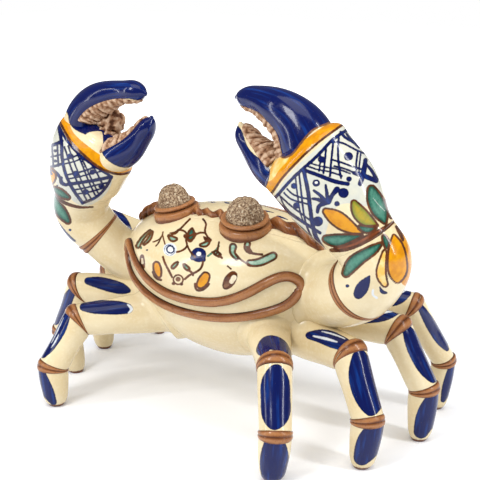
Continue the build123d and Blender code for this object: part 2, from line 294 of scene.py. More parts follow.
class Limb:
    """A hand-rolled limb: oval sections along a smooth line."""

    def __init__(self, rows, side):
        centres = np.array([row[0] for row in rows])
        self.knots = chord_measure(centres)
        self.length = self.knots[-1]
        self.side = np.asarray(side, float)
        flat = [np.concatenate((row[0], unit(row[1]), (row[2], row[3]))) for row in rows]
        self.curve = natural_curve(self.knots, np.array(flat))

    def frames(self, along):
        """Middles, wide and deep directions, and half sizes, at places along the limb."""
        values = self.curve(np.asarray(along, float).ravel())
        direction = unit(values[:, 3:6])
        wide_axis = unit(np.cross(self.side, direction))
        deep_axis = np.cross(direction, wide_axis)
        return values[:, :3], wide_axis, deep_axis, values[:, 6], values[:, 7]

    def surface(self, along, angle, lift=0.0):
        """Points and outward directions at places along the limb and angles round it."""
        shape = np.shape(along)
        angle = np.asarray(angle, float).ravel()
        centre, wide_axis, deep_axis, wide, deep = self.frames(along)
        cosine = np.cos(angle)[:, None]
        sine = np.sin(angle)[:, None]
        wide = np.maximum(wide, thinnest)[:, None]
        deep = np.maximum(deep, thinnest)[:, None]
        out = unit(cosine / wide * wide_axis + sine / deep * deep_axis)
        lift = np.asarray(lift, float)
        lift = lift.ravel()[:, None] if lift.ndim else lift
        points = centre + cosine * wide * wide_axis + sine * deep * deep_axis + out * lift
        return points.reshape(*shape, 3), out.reshape(*shape, 3)

    def facing(self, along):
        """The angle round the limb that faces the viewpoint most."""
        centre, wide_axis, deep_axis, wide, deep = self.frames(along)
        sight = unit(viewpoint - centre)
        sideways = dot(sight, wide_axis) / np.maximum(wide, thinnest)
        outward = dot(sight, deep_axis) / np.maximum(deep, thinnest)
        return np.arctan2(outward, sideways).reshape(np.shape(along))


class Window:
    """A stretch of a limb that is measured from its own start."""

    def __init__(self, limb, first, last):
        self.limb = limb
        self.first = first
        self.length = last - first

    def surface(self, along, angle, lift=0.0):
        return self.limb.surface(self.first + along, angle, lift)


def body_sizes(away):
    """Half sizes of the body, for places that lie away from its middle, above or below its rim."""
    height = np.where(away[..., 2] > 0, crown_height, bowl_depth)
    width = np.full_like(height, body_width / 2)
    depth = np.full_like(height, body_depth / 2)
    return np.stack((width, depth, height), -1)


def body_level(points):
    """How far points lie out from the body's middle, where 1 is its surface."""
    away = points - body_centre
    shares = away / body_sizes(away)
    return np.sqrt(dot(shares, shares))


def body_outward(points):
    """Directions out of the body at points on it, longer where it is thinner."""
    away = points - body_centre
    return away / body_sizes(away) ** 2


def body_distance(points):
    """About how far points lie from the body's surface."""
    level = body_level(points)
    slope = np.linalg.norm(body_outward(points), axis=-1) / np.maximum(level, 0.05)
    return (level - 1) / np.maximum(slope, 1e-4)


def on_face(x, height):
    """A point on the front of the body, at a height above its rim."""
    reach = crown_height if height > 0 else bowl_depth
    share = 1 - (2 * x / body_width) ** 2 - (height / reach) ** 2
    return body_centre + np.array((x, -body_depth / 2 * np.sqrt(max(0.0, share)), height))


def on_crown(x, share):
    """A point on the front of the body, at a share of the crown's height there."""
    return on_face(x, share * crown_height * np.sqrt(1 - (2 * x / body_width) ** 2))


def ripple(points, size, height, seed=0.0):
    """The slow unevenness of a surface smoothed by hand."""
    x, y, z = (points[..., i] / size for i in range(3))
    first = np.sin(x * 1.3 + seed) * np.sin(y * 1.1 + 2 * seed + 1) * np.sin(z * 1.2 + 3 * seed)
    second = np.sin(x * 2.3 + y * 1.7 + 5 * seed) * np.sin(z * 2.1 - y * 1.4 + seed + 2)
    return height * (0.6 * first + 0.4 * second)


# A layer of paint holds FAR at a mark's edge, more inside it, and nothing that far outside
FAR = 3.0
# Places further than this from a mark's box aren't measured
MARGIN = 4.0
# Steps between the samples of an outline and of a stroke
outline_step = 2.0
stroke_step = 1.5
# Distance of a place that no mark reaches, and a length that counts as none
unreached = 1e9
tiny = 1e-9


def between_rows(places, measure, rows):
    """Rows of values at places between given ones, along straight runs."""
    return np.column_stack([np.interp(places, measure, column) for column in rows.T])


def even_samples(points, radii, step):
    """Evenly spaced points and radii on a smooth line through given ones."""
    points = np.asarray(points, float)
    radii = np.broadcast_to(np.asarray(radii, float), (len(points),))
    measure = chord_measure(points)
    count = max(3, int(measure[-1] / step) + 2)
    places = np.linspace(0, measure[-1], count)
    values = np.column_stack((points, radii))
    if len(points) == 2:
        samples = between_rows(places, measure, values)
    else:
        samples = natural_curve(measure, values)(places)
    return samples[:, :2], np.maximum(samples[:, 2], 0.05)


def run_distance(places, start, end):
    """Distance of places from a straight run, and how far along it the nearest point lies."""
    run = end - start
    share = np.clip((places - start) @ run / max(run @ run, tiny), 0, 1)
    return np.linalg.norm(places - start - share[:, None] * run, axis=1), share


def line_distance(places, samples, radii):
    """Distance of places from a line of varying width, less than zero inside it."""
    best = np.full(len(places), unreached)
    for start, end, first, last in zip(samples[:-1], samples[1:], radii[:-1], radii[1:]):
        gap, share = run_distance(places, start, end)
        best = np.minimum(best, gap - (first + (last - first) * share))
    return best


def area_distance(places, corners):
    """Distance of places from a closed outline, less than zero inside it."""
    best = np.full(len(places), unreached)
    inside = np.zeros(len(places), bool)
    for start, end in zip(corners, np.roll(corners, -1, axis=0)):
        gap, _ = run_distance(places, start, end)
        best = np.minimum(best, gap)
        run = end - start
        crosses = (start[1] > places[:, 1]) != (end[1] > places[:, 1])
        level = tiny if abs(run[1]) < tiny else run[1]
        inside ^= crosses & (places[:, 0] < run[0] * (places[:, 1] - start[1]) / level + start[0])
    return np.where(inside, -best, best)


class Mark:
    """One brush mark: a line of varying width, or a filled outline, in one paint."""

    def __init__(self, paint, points, radii=1.0, edge=None, edge_width=1.1, area=False):
        self.paint = paint
        self.edge = edge
        self.edge_width = edge_width
        self.area = area
        if area:
            closed = [*points, points[0]]
            samples, _ = even_samples(closed, 1.0, outline_step)
            self.samples = samples[:-1]
            self.radii = np.zeros(len(self.samples))
        else:
            self.samples, self.radii = even_samples(points, radii, stroke_step)

    def distance(self, places):
        """Distance for every place, large where the mark is far."""
        reach = MARGIN + self.radii.max()
        low = self.samples.min(0) - reach
        high = self.samples.max(0) + reach
        near = ((places >= low) & (places <= high)).all(1)
        gap = np.full(len(places), unreached)
        if near.any():
            if self.area:
                gap[near] = area_distance(places[near], self.samples)
            else:
                gap[near] = line_distance(places[near], self.samples, self.radii)
        return gap


def cover(distance):
    """What a layer holds at a distance from a mark's edge, which is negative inside the mark."""
    return np.clip(FAR - distance, 0, 4 * FAR)


def paint_layers(places, marks, unit_size, layers, allowed=None):
    """Adds each mark to its paint's layer: FAR at the mark's edge, more inside it."""
    for mark in marks:
        gap = mark.distance(places) * unit_size
        if allowed is not None:
            gap = np.where(allowed, gap, unreached)
        shapes = [(mark.paint, gap)]
        if mark.edge:
            shapes.append((mark.edge, np.abs(gap) - mark.edge_width * unit_size))
        for paint, distance in shapes:
            if paint is None:
                continue
            layers[paint] = np.maximum(layers.get(paint, 0), cover(distance))
    return layers


def new_object(name, data):
    """An object in the scene, for a mesh, a lamp or a camera."""
    piece = bpy.data.objects.new(name, data)
    bpy.context.scene.collection.objects.link(piece)
    return piece


class Shape:
    """Gathers closed grids of points, with their paint layers, into one mesh."""

    def __init__(self):
        self.points = []
        self.faces = []
        self.layers = {}
        self.count = 0

    def add(self, rings, layers, ring_loop=False):
        """Adds a tube of rings. Its ends meet in a loop, or close to a point each."""
        rows, columns = rings.shape[:2]
        points = rings.reshape(-1, 3)
        i, j = np.meshgrid(np.arange(rows if ring_loop else rows - 1), np.arange(columns), indexing="ij")
        i_next = (i + 1) % rows
        j_next = (j + 1) % columns
        corners = (i * columns + j, i * columns + j_next, i_next * columns + j_next, i_next * columns + j)
        faces = (np.stack(corners, -1).reshape(-1, 4) + self.count).tolist()
        values = {}
        for name, layer in layers.items():
            values[name] = np.asarray(layer, float).reshape(rows * columns, -1)
        if not ring_loop:
            points = np.vstack((points, rings[0].mean(0), rings[-1].mean(0)))
            j = np.arange(columns)
            k = (j + 1) % columns
            first = self.count + rows * columns
            base = self.count + (rows - 1) * columns
            faces += np.stack((self.count + k, self.count + j, np.full(columns, first)), -1).tolist()
            faces += np.stack((base + j, base + k, np.full(columns, first + 1)), -1).tolist()
            for name, layer in values.items():
                ends = (layer[:columns].mean(0), layer[-columns:].mean(0))
                values[name] = np.vstack((layer, ends))
        for name, layer in values.items():
            self.layers.setdefault(name, []).append((self.count, layer))
        self.points.append(points)
        self.faces += faces
        self.count += len(points)

    def write(self, node, slot_name):
        """Makes the mesh, and lets it stand for its node."""
        name = node + "_glazed"
        mesh = bpy.data.meshes.new(name)
        mesh.from_pydata((np.vstack(self.points) * METRES).tolist(), [], self.faces)
        mesh.shade_smooth()
        for layer_name, parts in self.layers.items():
            width = parts[0][1].shape[1]
            values = np.zeros((self.count, width))
            for first, layer in parts:
                values[first:first + len(layer)] = layer
            kind, key = ("FLOAT", "value") if width == 1 else ("FLOAT_VECTOR", "vector")
            attribute = mesh.attributes.new(layer_name, kind, "POINT")
            attribute.data.foreach_set(key, values.ravel().astype(np.float32))
        piece = new_object(name, mesh)
        piece.data.materials.append(materials[slot_name])
        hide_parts(node)
        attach(piece, "root")


def write_tube(node, slot_name, rings, layers):
    """Makes a piece from a single tube of rings."""
    shape = Shape()
    shape.add(rings, layers)
    shape.write(node, slot_name)


# Finish of the clay: how far rolls, lumps and grains stand out, and how fine the meshes are
ripple_height = 0.3
ripple_size = 16.0
root_fillet = 5.0
trim_level_share = 0.985
column_step = 0.62
claw_step = 0.5
cap_rings = 4
palm_cap = 3.0
finger_cap = 1.2


def filleted(points, out, fillet):
    """Draws a root out into a soft fillet at the body."""
    near = 1 - np.clip(body_distance(points) / fillet, 0, 1)
    return points + out * (fillet * (1 - np.sqrt(1 - near * near)))[..., None]


def trimmed(points):
    """Draws what lies inside the body up to just under its surface."""
    level = body_level(points)[..., None]
    kept = body_centre + (points - body_centre) * trim_level_share / np.maximum(level, 0.05)
    return np.where(level < trim_level_share, kept, points)


def mark_layers(limb, along, angle, marks, wrap):
    """Paint layers of a limb: marks as photographed, and mirrored on the side turned away."""
    facing = limb.facing(along[:, 0])[:, None]
    turn = (angle - facing + np.pi) % (2 * np.pi) - np.pi
    hidden = np.abs(turn) > np.pi / 2
    mirrored = np.where(hidden, facing + np.pi - turn, angle)
    past = np.abs(turn) - np.pi / 2
    points, _ = limb.surface(along, mirrored)
    allowed = (past < wrap).ravel()
    return paint_layers(to_photo(points.reshape(-1, 3)), marks, pixel_size, {}, allowed)


# The stroke on a leg piece, half as wide as this angle and half as long as this share
stroke_half_angle = np.radians(58)
stroke_half_share = 0.42


def stroke_layers(limb, along, angle):
    """One long brush stroke down the outer side of a leg piece."""
    _, _, _, wide, deep = limb.frames(along)
    radius = (wide * deep).reshape(along.shape) ** 0.5
    down = (along / limb.length - 0.5) / stroke_half_share
    beside = (angle - np.pi) / stroke_half_angle
    distance = (np.sqrt(down**2 + beside**2) - 1) * stroke_half_angle * radius
    return {"blue": cover(distance)}


def round_turns(count):
    """Angles evenly round a circle."""
    return np.arange(count) * 2 * np.pi / count


def limb_grid(limb, first, last, step):
    """Places along a limb and angles round it."""
    widest = max(limb.curve(np.linspace(first, last, 9))[:, 6])
    columns = int(2 * np.pi * widest / step)
    rows = max(int((last - first) / step), 8)
    along = np.linspace(first, last, rows)[:, None]
    return np.broadcast_to(along, (rows, columns)), np.broadcast_to(round_turns(columns), (rows, columns))


def capped(points, bulge):
    """Rounds a tube's open end over with shrinking rings."""
    centre = points[-1].mean(0)
    direction = unit(centre - points[-2].mean(0))
    rings = [
        centre + (points[-1] - centre) * np.cos(turn) + direction * bulge * np.sin(turn)
        for turn in np.linspace(0, np.pi / 2, cap_rings + 2)[1:-1]
    ]
    return np.concatenate((points, rings))


def limb_piece(node, slot_name, limb, first, last, step, marks, wrap=np.pi, fillet=0.0, cap=0.0):
    """One segment of a limb, painted. A leg piece without marks gets one long stroke."""
    along, angle = limb_grid(limb, first, last, step)
    points, out = limb.surface(along, angle)
    points = points + out * ripple(points, ripple_size, ripple_height)[..., None]
    if fillet:
        points = trimmed(filleted(points, out, fillet))
    if marks is None:
        layers = stroke_layers(limb, along, angle)
    else:
        layers = mark_layers(limb, along, angle, marks, wrap)
    layers = {name: layer.reshape(along.shape) for name, layer in layers.items()}
    _, _, _, wide, deep = limb.frames(along)
    layers["grain"] = np.stack((along, angle * np.mean(wide * deep) ** 0.5, points[..., 2]), -1)
    if cap:
        points = capped(points, cap)
        for name, layer in layers.items():
            layers[name] = np.concatenate((layer, np.repeat(layer[-1:], cap_rings, 0)))
    write_tube(node, slot_name, points, layers)


# Collars: their height, how far their underside is sunk and their edge is tucked in, the
# unevenness of the rolls, and the half widths of each collar outside and inside the bend
collar_height = 0.75
collar_sink = 0.6
collar_tuck = 0.1
collar_wobble = 0.12
roll_valley_share = 0.35
collar_rows = 96
collar_top_columns = 21
collar_under_columns = 7
elbow_collar_widths = (3.3, 1.0)
knee_collar_widths = (3.0, 0.5)
ankle_collar_widths = (2.7, 1.0)


def double_roll(share):
    """Height of two rolls side by side, across a band from -1 to 1."""
    roll = np.sqrt(np.clip(1 - ((np.abs(share) - 0.5) / 0.5) ** 2, 0, 1))
    valley = np.clip(1 - np.abs(share), 0, 1)
    return np.maximum(roll, roll_valley_share * smooth_step(2 * valley))


def band_shares(top_columns, under_columns):
    """Shares from edge to edge over a closed band and back under it, and which are on top."""
    over = np.linspace(-1, 1, top_columns)
    under = np.linspace(1, -1, under_columns)[1:-1]
    share = np.concatenate((over, under))
    return share, np.arange(len(share)) < top_columns


def add_collar(shape, before, after, widths):
    """A low double roll over the joint of two limbs, narrowest inside the bend."""
    widest, narrowest = widths
    angle = round_turns(collar_rows)
    half = narrowest + (widest - narrowest) * ((1 - np.cos(angle)) / 2) ** 0.8
    share, top = band_shares(collar_top_columns, collar_under_columns)
    height = np.where(top, double_roll(share), 0.0)
    size = half[:, None] / widest
    lift = np.where(top, height * collar_height * (0.35 + 0.65 * size) - collar_tuck, -collar_sink)
    lift = lift + collar_wobble * np.sin(angle * 5 + 1)[:, None] * height * size
    offset = half[:, None] * share
    turn = np.broadcast_to(angle[:, None], offset.shape)
    low, _ = before.surface(before.length + np.minimum(offset, 0), turn, lift)
    high, _ = after.surface(np.maximum(offset, 0), turn, lift)
    points = np.where(offset[..., None] < 0, low, high)
    # Each roll's top is painted lighter as a highlight, its valley and edges darker as painted shade
    crest = np.broadcast_to(height**1.5, offset.shape)
    grain = np.stack((turn * leg_radius, offset, points[..., 2]), -1)
    shape.add(points[:, ::-1], {"crest": crest[:, ::-1], "grain": grain[:, ::-1]}, ring_loop=True)


# Coils on the face
coil_step = 0.5
coil_columns = 40
coil_ripple_size = 4.0
coil_ripple_height = 0.18


def coil_piece(node, points, radii, flat, turns, grooves):
    """A coil of clay pressed on the face: an oval roll, twisted where turns say so."""
    outs = [unit(body_outward(point)) for point in points]
    measure = chord_measure(points)
    curve = natural_curve(measure, np.column_stack((np.array(points), outs, radii, turns)))
    places = np.linspace(0, measure[-1], int(measure[-1] / coil_step))
    row = curve(places)
    centre = row[:, :3]
    direction = unit(np.gradient(centre, axis=0))
    out = unit(row[:, 3:6] - dot(row[:, 3:6], direction)[:, None] * direction)
    beside = np.cross(out, direction)
    radius = row[:, 6][:, None]
    turn = row[:, 7][:, None]
    ends = np.minimum(places, measure[-1] - places)[:, None] / (radius * 1.2)
    radius = radius * np.sqrt(1 - (1 - np.clip(ends, 0.02, 1)) ** 2)
    local = round_turns(coil_columns)[None, :] - turn
    reach = 1 - grooves + grooves * np.abs(np.cos(local)) ** 0.7
    wide = radius * np.cos(local) * reach
    deep = radius * flat * np.sin(local) * reach
    wide, deep = wide * np.cos(turn) - deep * np.sin(turn), wide * np.sin(turn) + deep * np.cos(turn)
    rings = centre[:, None] + wide[..., None] * beside[:, None] + deep[..., None] * out[:, None]
    rings = rings + out[:, None] * ripple(rings, coil_ripple_size, coil_ripple_height, 2.0)[..., None]
    # The crest lightens the roll's outward top as a painted highlight and darkens its sides and twist
    # grooves as painted shade
    crest = (deep / np.maximum(radius, thinnest)).clip(0, 1)
    if grooves:
        groove = (reach - (1 - grooves)) / grooves
        crest = (0.6 + 0.4 * crest) * (0.3 + 0.7 * groove)
    grain = np.stack((np.broadcast_to(places[:, None], deep.shape), local * radius, rings[..., 2]), -1)
    write_tube(node, "brown_glaze", trimmed(rings), {"crest": crest, "grain": grain})


def body_hit(origin, directions, grow=0.0):
    """Where rays from inside the body meet its surface, or a surface inside it."""
    def reach(height):
        size = np.array((body_width / 2 + grow, body_depth / 2 + grow, height + grow))
        start = (origin - body_centre) / size
        way = directions / size
        a, b, c = dot(way, way), dot(way, start), start @ start - 1
        return (np.sqrt(b * b - a * c) - b) / a

    high = origin + directions * reach(crown_height)[..., None]
    low = origin + directions * reach(bowl_depth)[..., None]
    return np.where(high[..., 2:] >= rim_height, high, low)


# Meshes of the body, closer together at its front
body_columns = 560
front_crowding = 0.4
crown_rows = 90
bowl_rows = 200
inner_rows = 24
vent_overrun = 0.3
vent_edge = 0.8
near_pole = 0.01
inner_near_pole = 0.05
# Marks of the photograph reach where the surface faces the viewpoint by this share, and marks
# seen from above where it faces up by this one
facing_share = 0.04
upward_share = 0.15


def body_grid(polar, grow=0.0):
    """Rings of the body about an axis square to its seam."""
    axis = unit(np.array((0.0, seam_drop, 1.0)))
    front = unit(-across + (across @ axis) * axis)
    beside = np.cross(front, axis)
    turn = round_turns(body_columns)
    turn = turn - front_crowding * np.sin(turn)
    level = np.cos(turn)[:, None] * front + np.sin(turn)[:, None] * beside
    polar = np.asarray(polar)[:, None, None]
    directions = np.cos(polar) * axis + np.sin(polar) * level[None]
    origin = body_centre + up * seam_above_rim
    return body_hit(origin, directions, grow)


def body_piece(node, polar, inner_polar, marks, plan_marks, outer_first):
    """A shell of the body: its painted outside, its inside, and the rim between them."""
    outer = body_grid(polar)
    out = unit(body_outward(outer))
    outer = outer + out * ripple(outer, ripple_size, ripple_height)[..., None]
    from_vent = np.linalg.norm(outer[..., :2] - body_centre[:2], axis=-1)
    below = outer[..., 2] < rim_height - bowl_depth / 2
    sunk = np.where(below, smooth_step((vent_radius + vent_overrun - from_vent) / vent_edge), 0)
    outer = outer + up * (sunk * vent_depth)[..., None]
    inner = body_grid(inner_polar, -shell_wall)
    sight = unit(viewpoint - outer)
    visible = (dot(out, sight) > facing_share).ravel()
    layers = paint_layers(to_photo(outer.reshape(-1, 3)), marks, pixel_size, {}, visible)
    top = (out[..., 2] > upward_share).ravel()
    layers = paint_layers(outer.reshape(-1, 3)[:, :2], plan_marks, 1.0, layers, top)
    # The vent's dimple is painted dark brown, a painted shade for the depth of the hole
    layers["brown"] = np.maximum(layers.get("brown", 0), np.clip(sunk.ravel() * 2 * FAR, 0, 2 * FAR))
    rings = np.concatenate((outer, inner) if outer_first else (inner, outer))
    ready = {"grain": rings}
    blank = np.zeros(inner.shape[:2])
    for name, layer in layers.items():
        layer = layer.reshape(outer.shape[:2])
        ready[name] = np.concatenate((layer, blank) if outer_first else (blank, layer))
    write_tube(node, "body_glaze", rings, ready)


# Marks on the photograph's pixels. A mark is its points and its half width or widths, and in
# a table of marks the width comes first. Drawn lines are this much wider than their width says.
line_body = {"brown": 0.4}
thin_line_body = 0.2
dab_half = 0.3


def line(paint, points, radii):
    return Mark(paint, points, np.asarray(radii) + line_body.get(paint, thin_line_body))


def petal(paint, points, radii):
    """A broad touch of the brush with a brown edge."""
    return Mark(paint, points, radii, "brown")


def touch(paint, points, radii):
    return Mark(paint, points, radii)


def area(paint, points, edge=None):
    return Mark(paint, points, edge=edge, area=True)


def dab(paint, x, y, size):
    return Mark(paint, ((x - dab_half, y), (x + dab_half, y)), size)


def ring(paint, points, radii, width):
    """A mark of which only the edge is painted."""
    return Mark(None, points, radii, paint, width)


def lines(paint, rows):
    return [line(paint, points, radii) for radii, *points in rows]


def petals(paint, rows):
    return [petal(paint, points, radii) for radii, *points in rows]


def touches(paint, rows):
    return [touch(paint, points, radii) for radii, *points in rows]


def dabs(paint, rows):
    return [dab(paint, *row) for row in rows]


face_marks = [
    # Leaves at the left
    *petals("pale", (
        ((1.0, 1.6, 1.9), (150, 231), (142, 239), (138, 246)),
        ((0.9, 1.5, 1.0), (152, 232), (149, 239), (144, 244)),
    )),
    touch("pale", ((138, 243), (141, 248)), (1.9, 1.2)),
    # Vine that hangs from the middle brow
    *lines("brown", (
        (0.7, (190, 219), (185, 224), (180, 229), (174, 233), (170, 236)),
        (0.7, (203, 219), (206, 224), (205, 230), (207, 236), (211, 240)),
        (0.7, (178, 230), (184, 231), (187, 235), (186, 240), (187, 245), (183, 250), (177, 252)),
        (0.7, (205, 233), (199, 233), (194, 236)),
        (0.7, (187, 245), (190, 251), (195, 257)),
    )),
    *petals("green", (
        ((0.8, 3.4, 1.6), (192, 229), (191, 235), (190, 240)),
        ((0.8, 2.2, 0.8), (185, 236), (190, 238), (195, 234)),
    )),
    *touches("brown", (
        ((0.7, 1.7, 0.6), (170, 233), (175, 233), (179, 230)),
        ((1.0, 2.2, 0.6), (204, 237), (207, 240), (211, 241)),
    )),
    *petals("pale", (
        ((1.0, 2.4, 1.2), (169, 236), (173, 239), (176, 239)),
        ((1.2, 2.2, 0.9), (201, 245), (206, 244), (209, 241)),
    )),
    # Two ring flowers
    dab("chalk_and_highlight", 170, 249.5, 6.6),
    ring("blue", ((170.2, 249.3), (170.6, 249.6)), 3.4, 0.8),
    ring("blue", ((169.4, 249.8), (170.0, 250.2)), 5.0, 0.3),
    *dabs("white", ((170.3, 249.4, 2.2), (198.8, 253.8, 2.1))),
    *dabs("blue", ((198.6, 254.8, 7.4), (203, 259.5, 2.6), (192.5, 258, 2.4))),
    # Lines down to the bud
    *lines("brown", (
        (0.8, (163, 257), (165, 263), (168, 269), (172, 277)),
        (0.8, (203, 262), (201, 268), (196, 272), (190, 275), (185, 279)),
        (0.9, (188, 270), (192, 273), (193, 275)),
    )),
    ring("brown", ((178, 279.6), (178.4, 279.8)), 4.6, 0.9),
    dab("slip", 178, 279.2, 2.4),
    *dabs("brown", ((173.5, 283.5, 1.6), (181.5, 284, 1.5))),
    *petals("pale", (
        ((1.6, 1.5, 0.7), (173, 267), (176, 264), (177.5, 262.5)),
        ((1.7, 1.5, 0.7), (188, 269), (185, 266), (184, 264.5)),
    )),
    # Sprigs
    *lines("brown", (
        (0.45, (153, 242), (158, 240), (162, 236), (163, 232)),
        (0.45, (156, 246), (159, 242), (161, 237)),
        (0.45, (163, 236), (164, 241), (165, 244)),
        (0.6, (219, 242), (218, 248), (216, 254), (212, 252)),
        (0.8, (219, 255), (222, 258)),
    )),
    line("pale", ((208, 256), (212, 253), (216, 250), (219, 246)), 0.9),
    petal("pale", ((216, 253), (219, 255)), (2.2, 1.8)),
    # Rings and stones
    *touches("brown", (
        ((2.2, 2.8, 2.0), (142, 256.5), (142.3, 262), (143, 267)),
        ((1.8, 0.8), (142.3, 266.5), (143.3, 270)),
        ((4.6, 6.0, 3.8), (233, 275.5), (229.5, 281), (226, 286)),
    )),
    *touches("bead", (
        ((1.0, 1.2), (142.2, 259), (142.5, 263)),
        ((2.6, 2.4), (234, 277.5), (231.5, 281.5)),
    )),
    *petals("yellow", (
        ((3.2, 3.8, 2.4), (156.5, 265), (157.5, 270), (158.8, 275)),
        ((4.2, 5.0, 3.8), (205.5, 276.5), (203, 281), (200.5, 284.5)),
    )),
    *lines("brown", (
        (0.9, (153, 272), (156, 278), (161, 280)),
        (0.9, (195, 284), (197, 290), (203, 289.5), (209, 284)),
        (0.5, (227.5, 266), (231, 269)),
    )),
    touch("slip", ((227, 284), (225.5, 286)), (2.6, 1.8)),
    dab("blue", 147, 250, 0.9),
    # Leaves at the right
    *petals("pale", (
        ((3.2, 2.4, 1.6), (233, 247), (232.5, 252), (236.5, 258)),
        ((2.6, 2.4, 1.4), (247.5, 244), (247, 248), (250, 252)),
        ((2.8, 3.4, 3.8, 3.6), (250, 263), (258, 262.5), (266, 259.5), (273, 256)),
    )),
    *lines("brown", (
        (0.9, (247, 247), (250, 252), (256, 254), (262, 254.5)),
        (0.7, (236, 254), (240, 259), (246, 263), (251, 265.5)),
    )),
    # Thin grey lines of painted shade in the creases where the arms were luted on
    *lines("crease_shade", (
        (0.5, (315, 278), (324, 270), (334, 263)),
        (0.6, (135, 290), (140, 300), (150, 316), (168, 336)),
    )),
]

# Marks on top of the carapace, in millimetres as seen from above
crown_marks = [
    *petals("yellow", (
        ((1.5, 4.6, 1.5), (0, 32), (0, 40), (0, 48)),
        ((1.0, 3.2, 1.2), (-7, 26), (-17, 27), (-26, 26)),
        ((1.0, 3.2, 1.2), (7, 26), (17, 27), (26, 26)),
    )),
    *petals("green", (
        ((1.2, 3.8, 1.2), (-6, 30), (-14, 36), (-22, 38)),
        ((1.2, 3.8, 1.2), (6, 30), (14, 36), (22, 38)),
    )),
    dab("blue", 0, 26, 4.0),
    dab("white", 0, 26, 1.6),
]
# The strokes and dots of one side, which the other side mirrors
crown_side_strokes = (
    ((1.4, 0.5), (8, 14), (13, 17)),
    ((1.4, 0.5), (18, 13), (23, 14.8)),
    ((1.4, 0.5), (29, 12), (34, 12.6)),
    ((1.4, 0.5), (40, 13), (45, 12.8)),
    ((0.6, 1.4, 0.6), (30, 30), (38, 28), (46, 22)),
)
crown_side_dots = ((33, 20, 1.2), (30, 37, 1.1))
for mirror in sides.values():
    for radii, *points in crown_side_strokes:
        crown_marks.append(line("blue", [(mirror * x, y) for x, y in points], radii))
    for x, y, size in crown_side_dots:
        crown_marks.append(dab("blue", mirror * x, y, size))

elbow_band = [
    line("brown", (
        (331, 250.5), (345, 248), (360, 242), (376, 234), (393, 222.5),
    ), (1.6, 3.4, 3.8, 3.0, 1.2)),
    line("rust", ((338, 248.6), (352, 245.2), (366, 238.4), (384, 228)), (0.5, 0.9, 1.0, 0.5)),
]

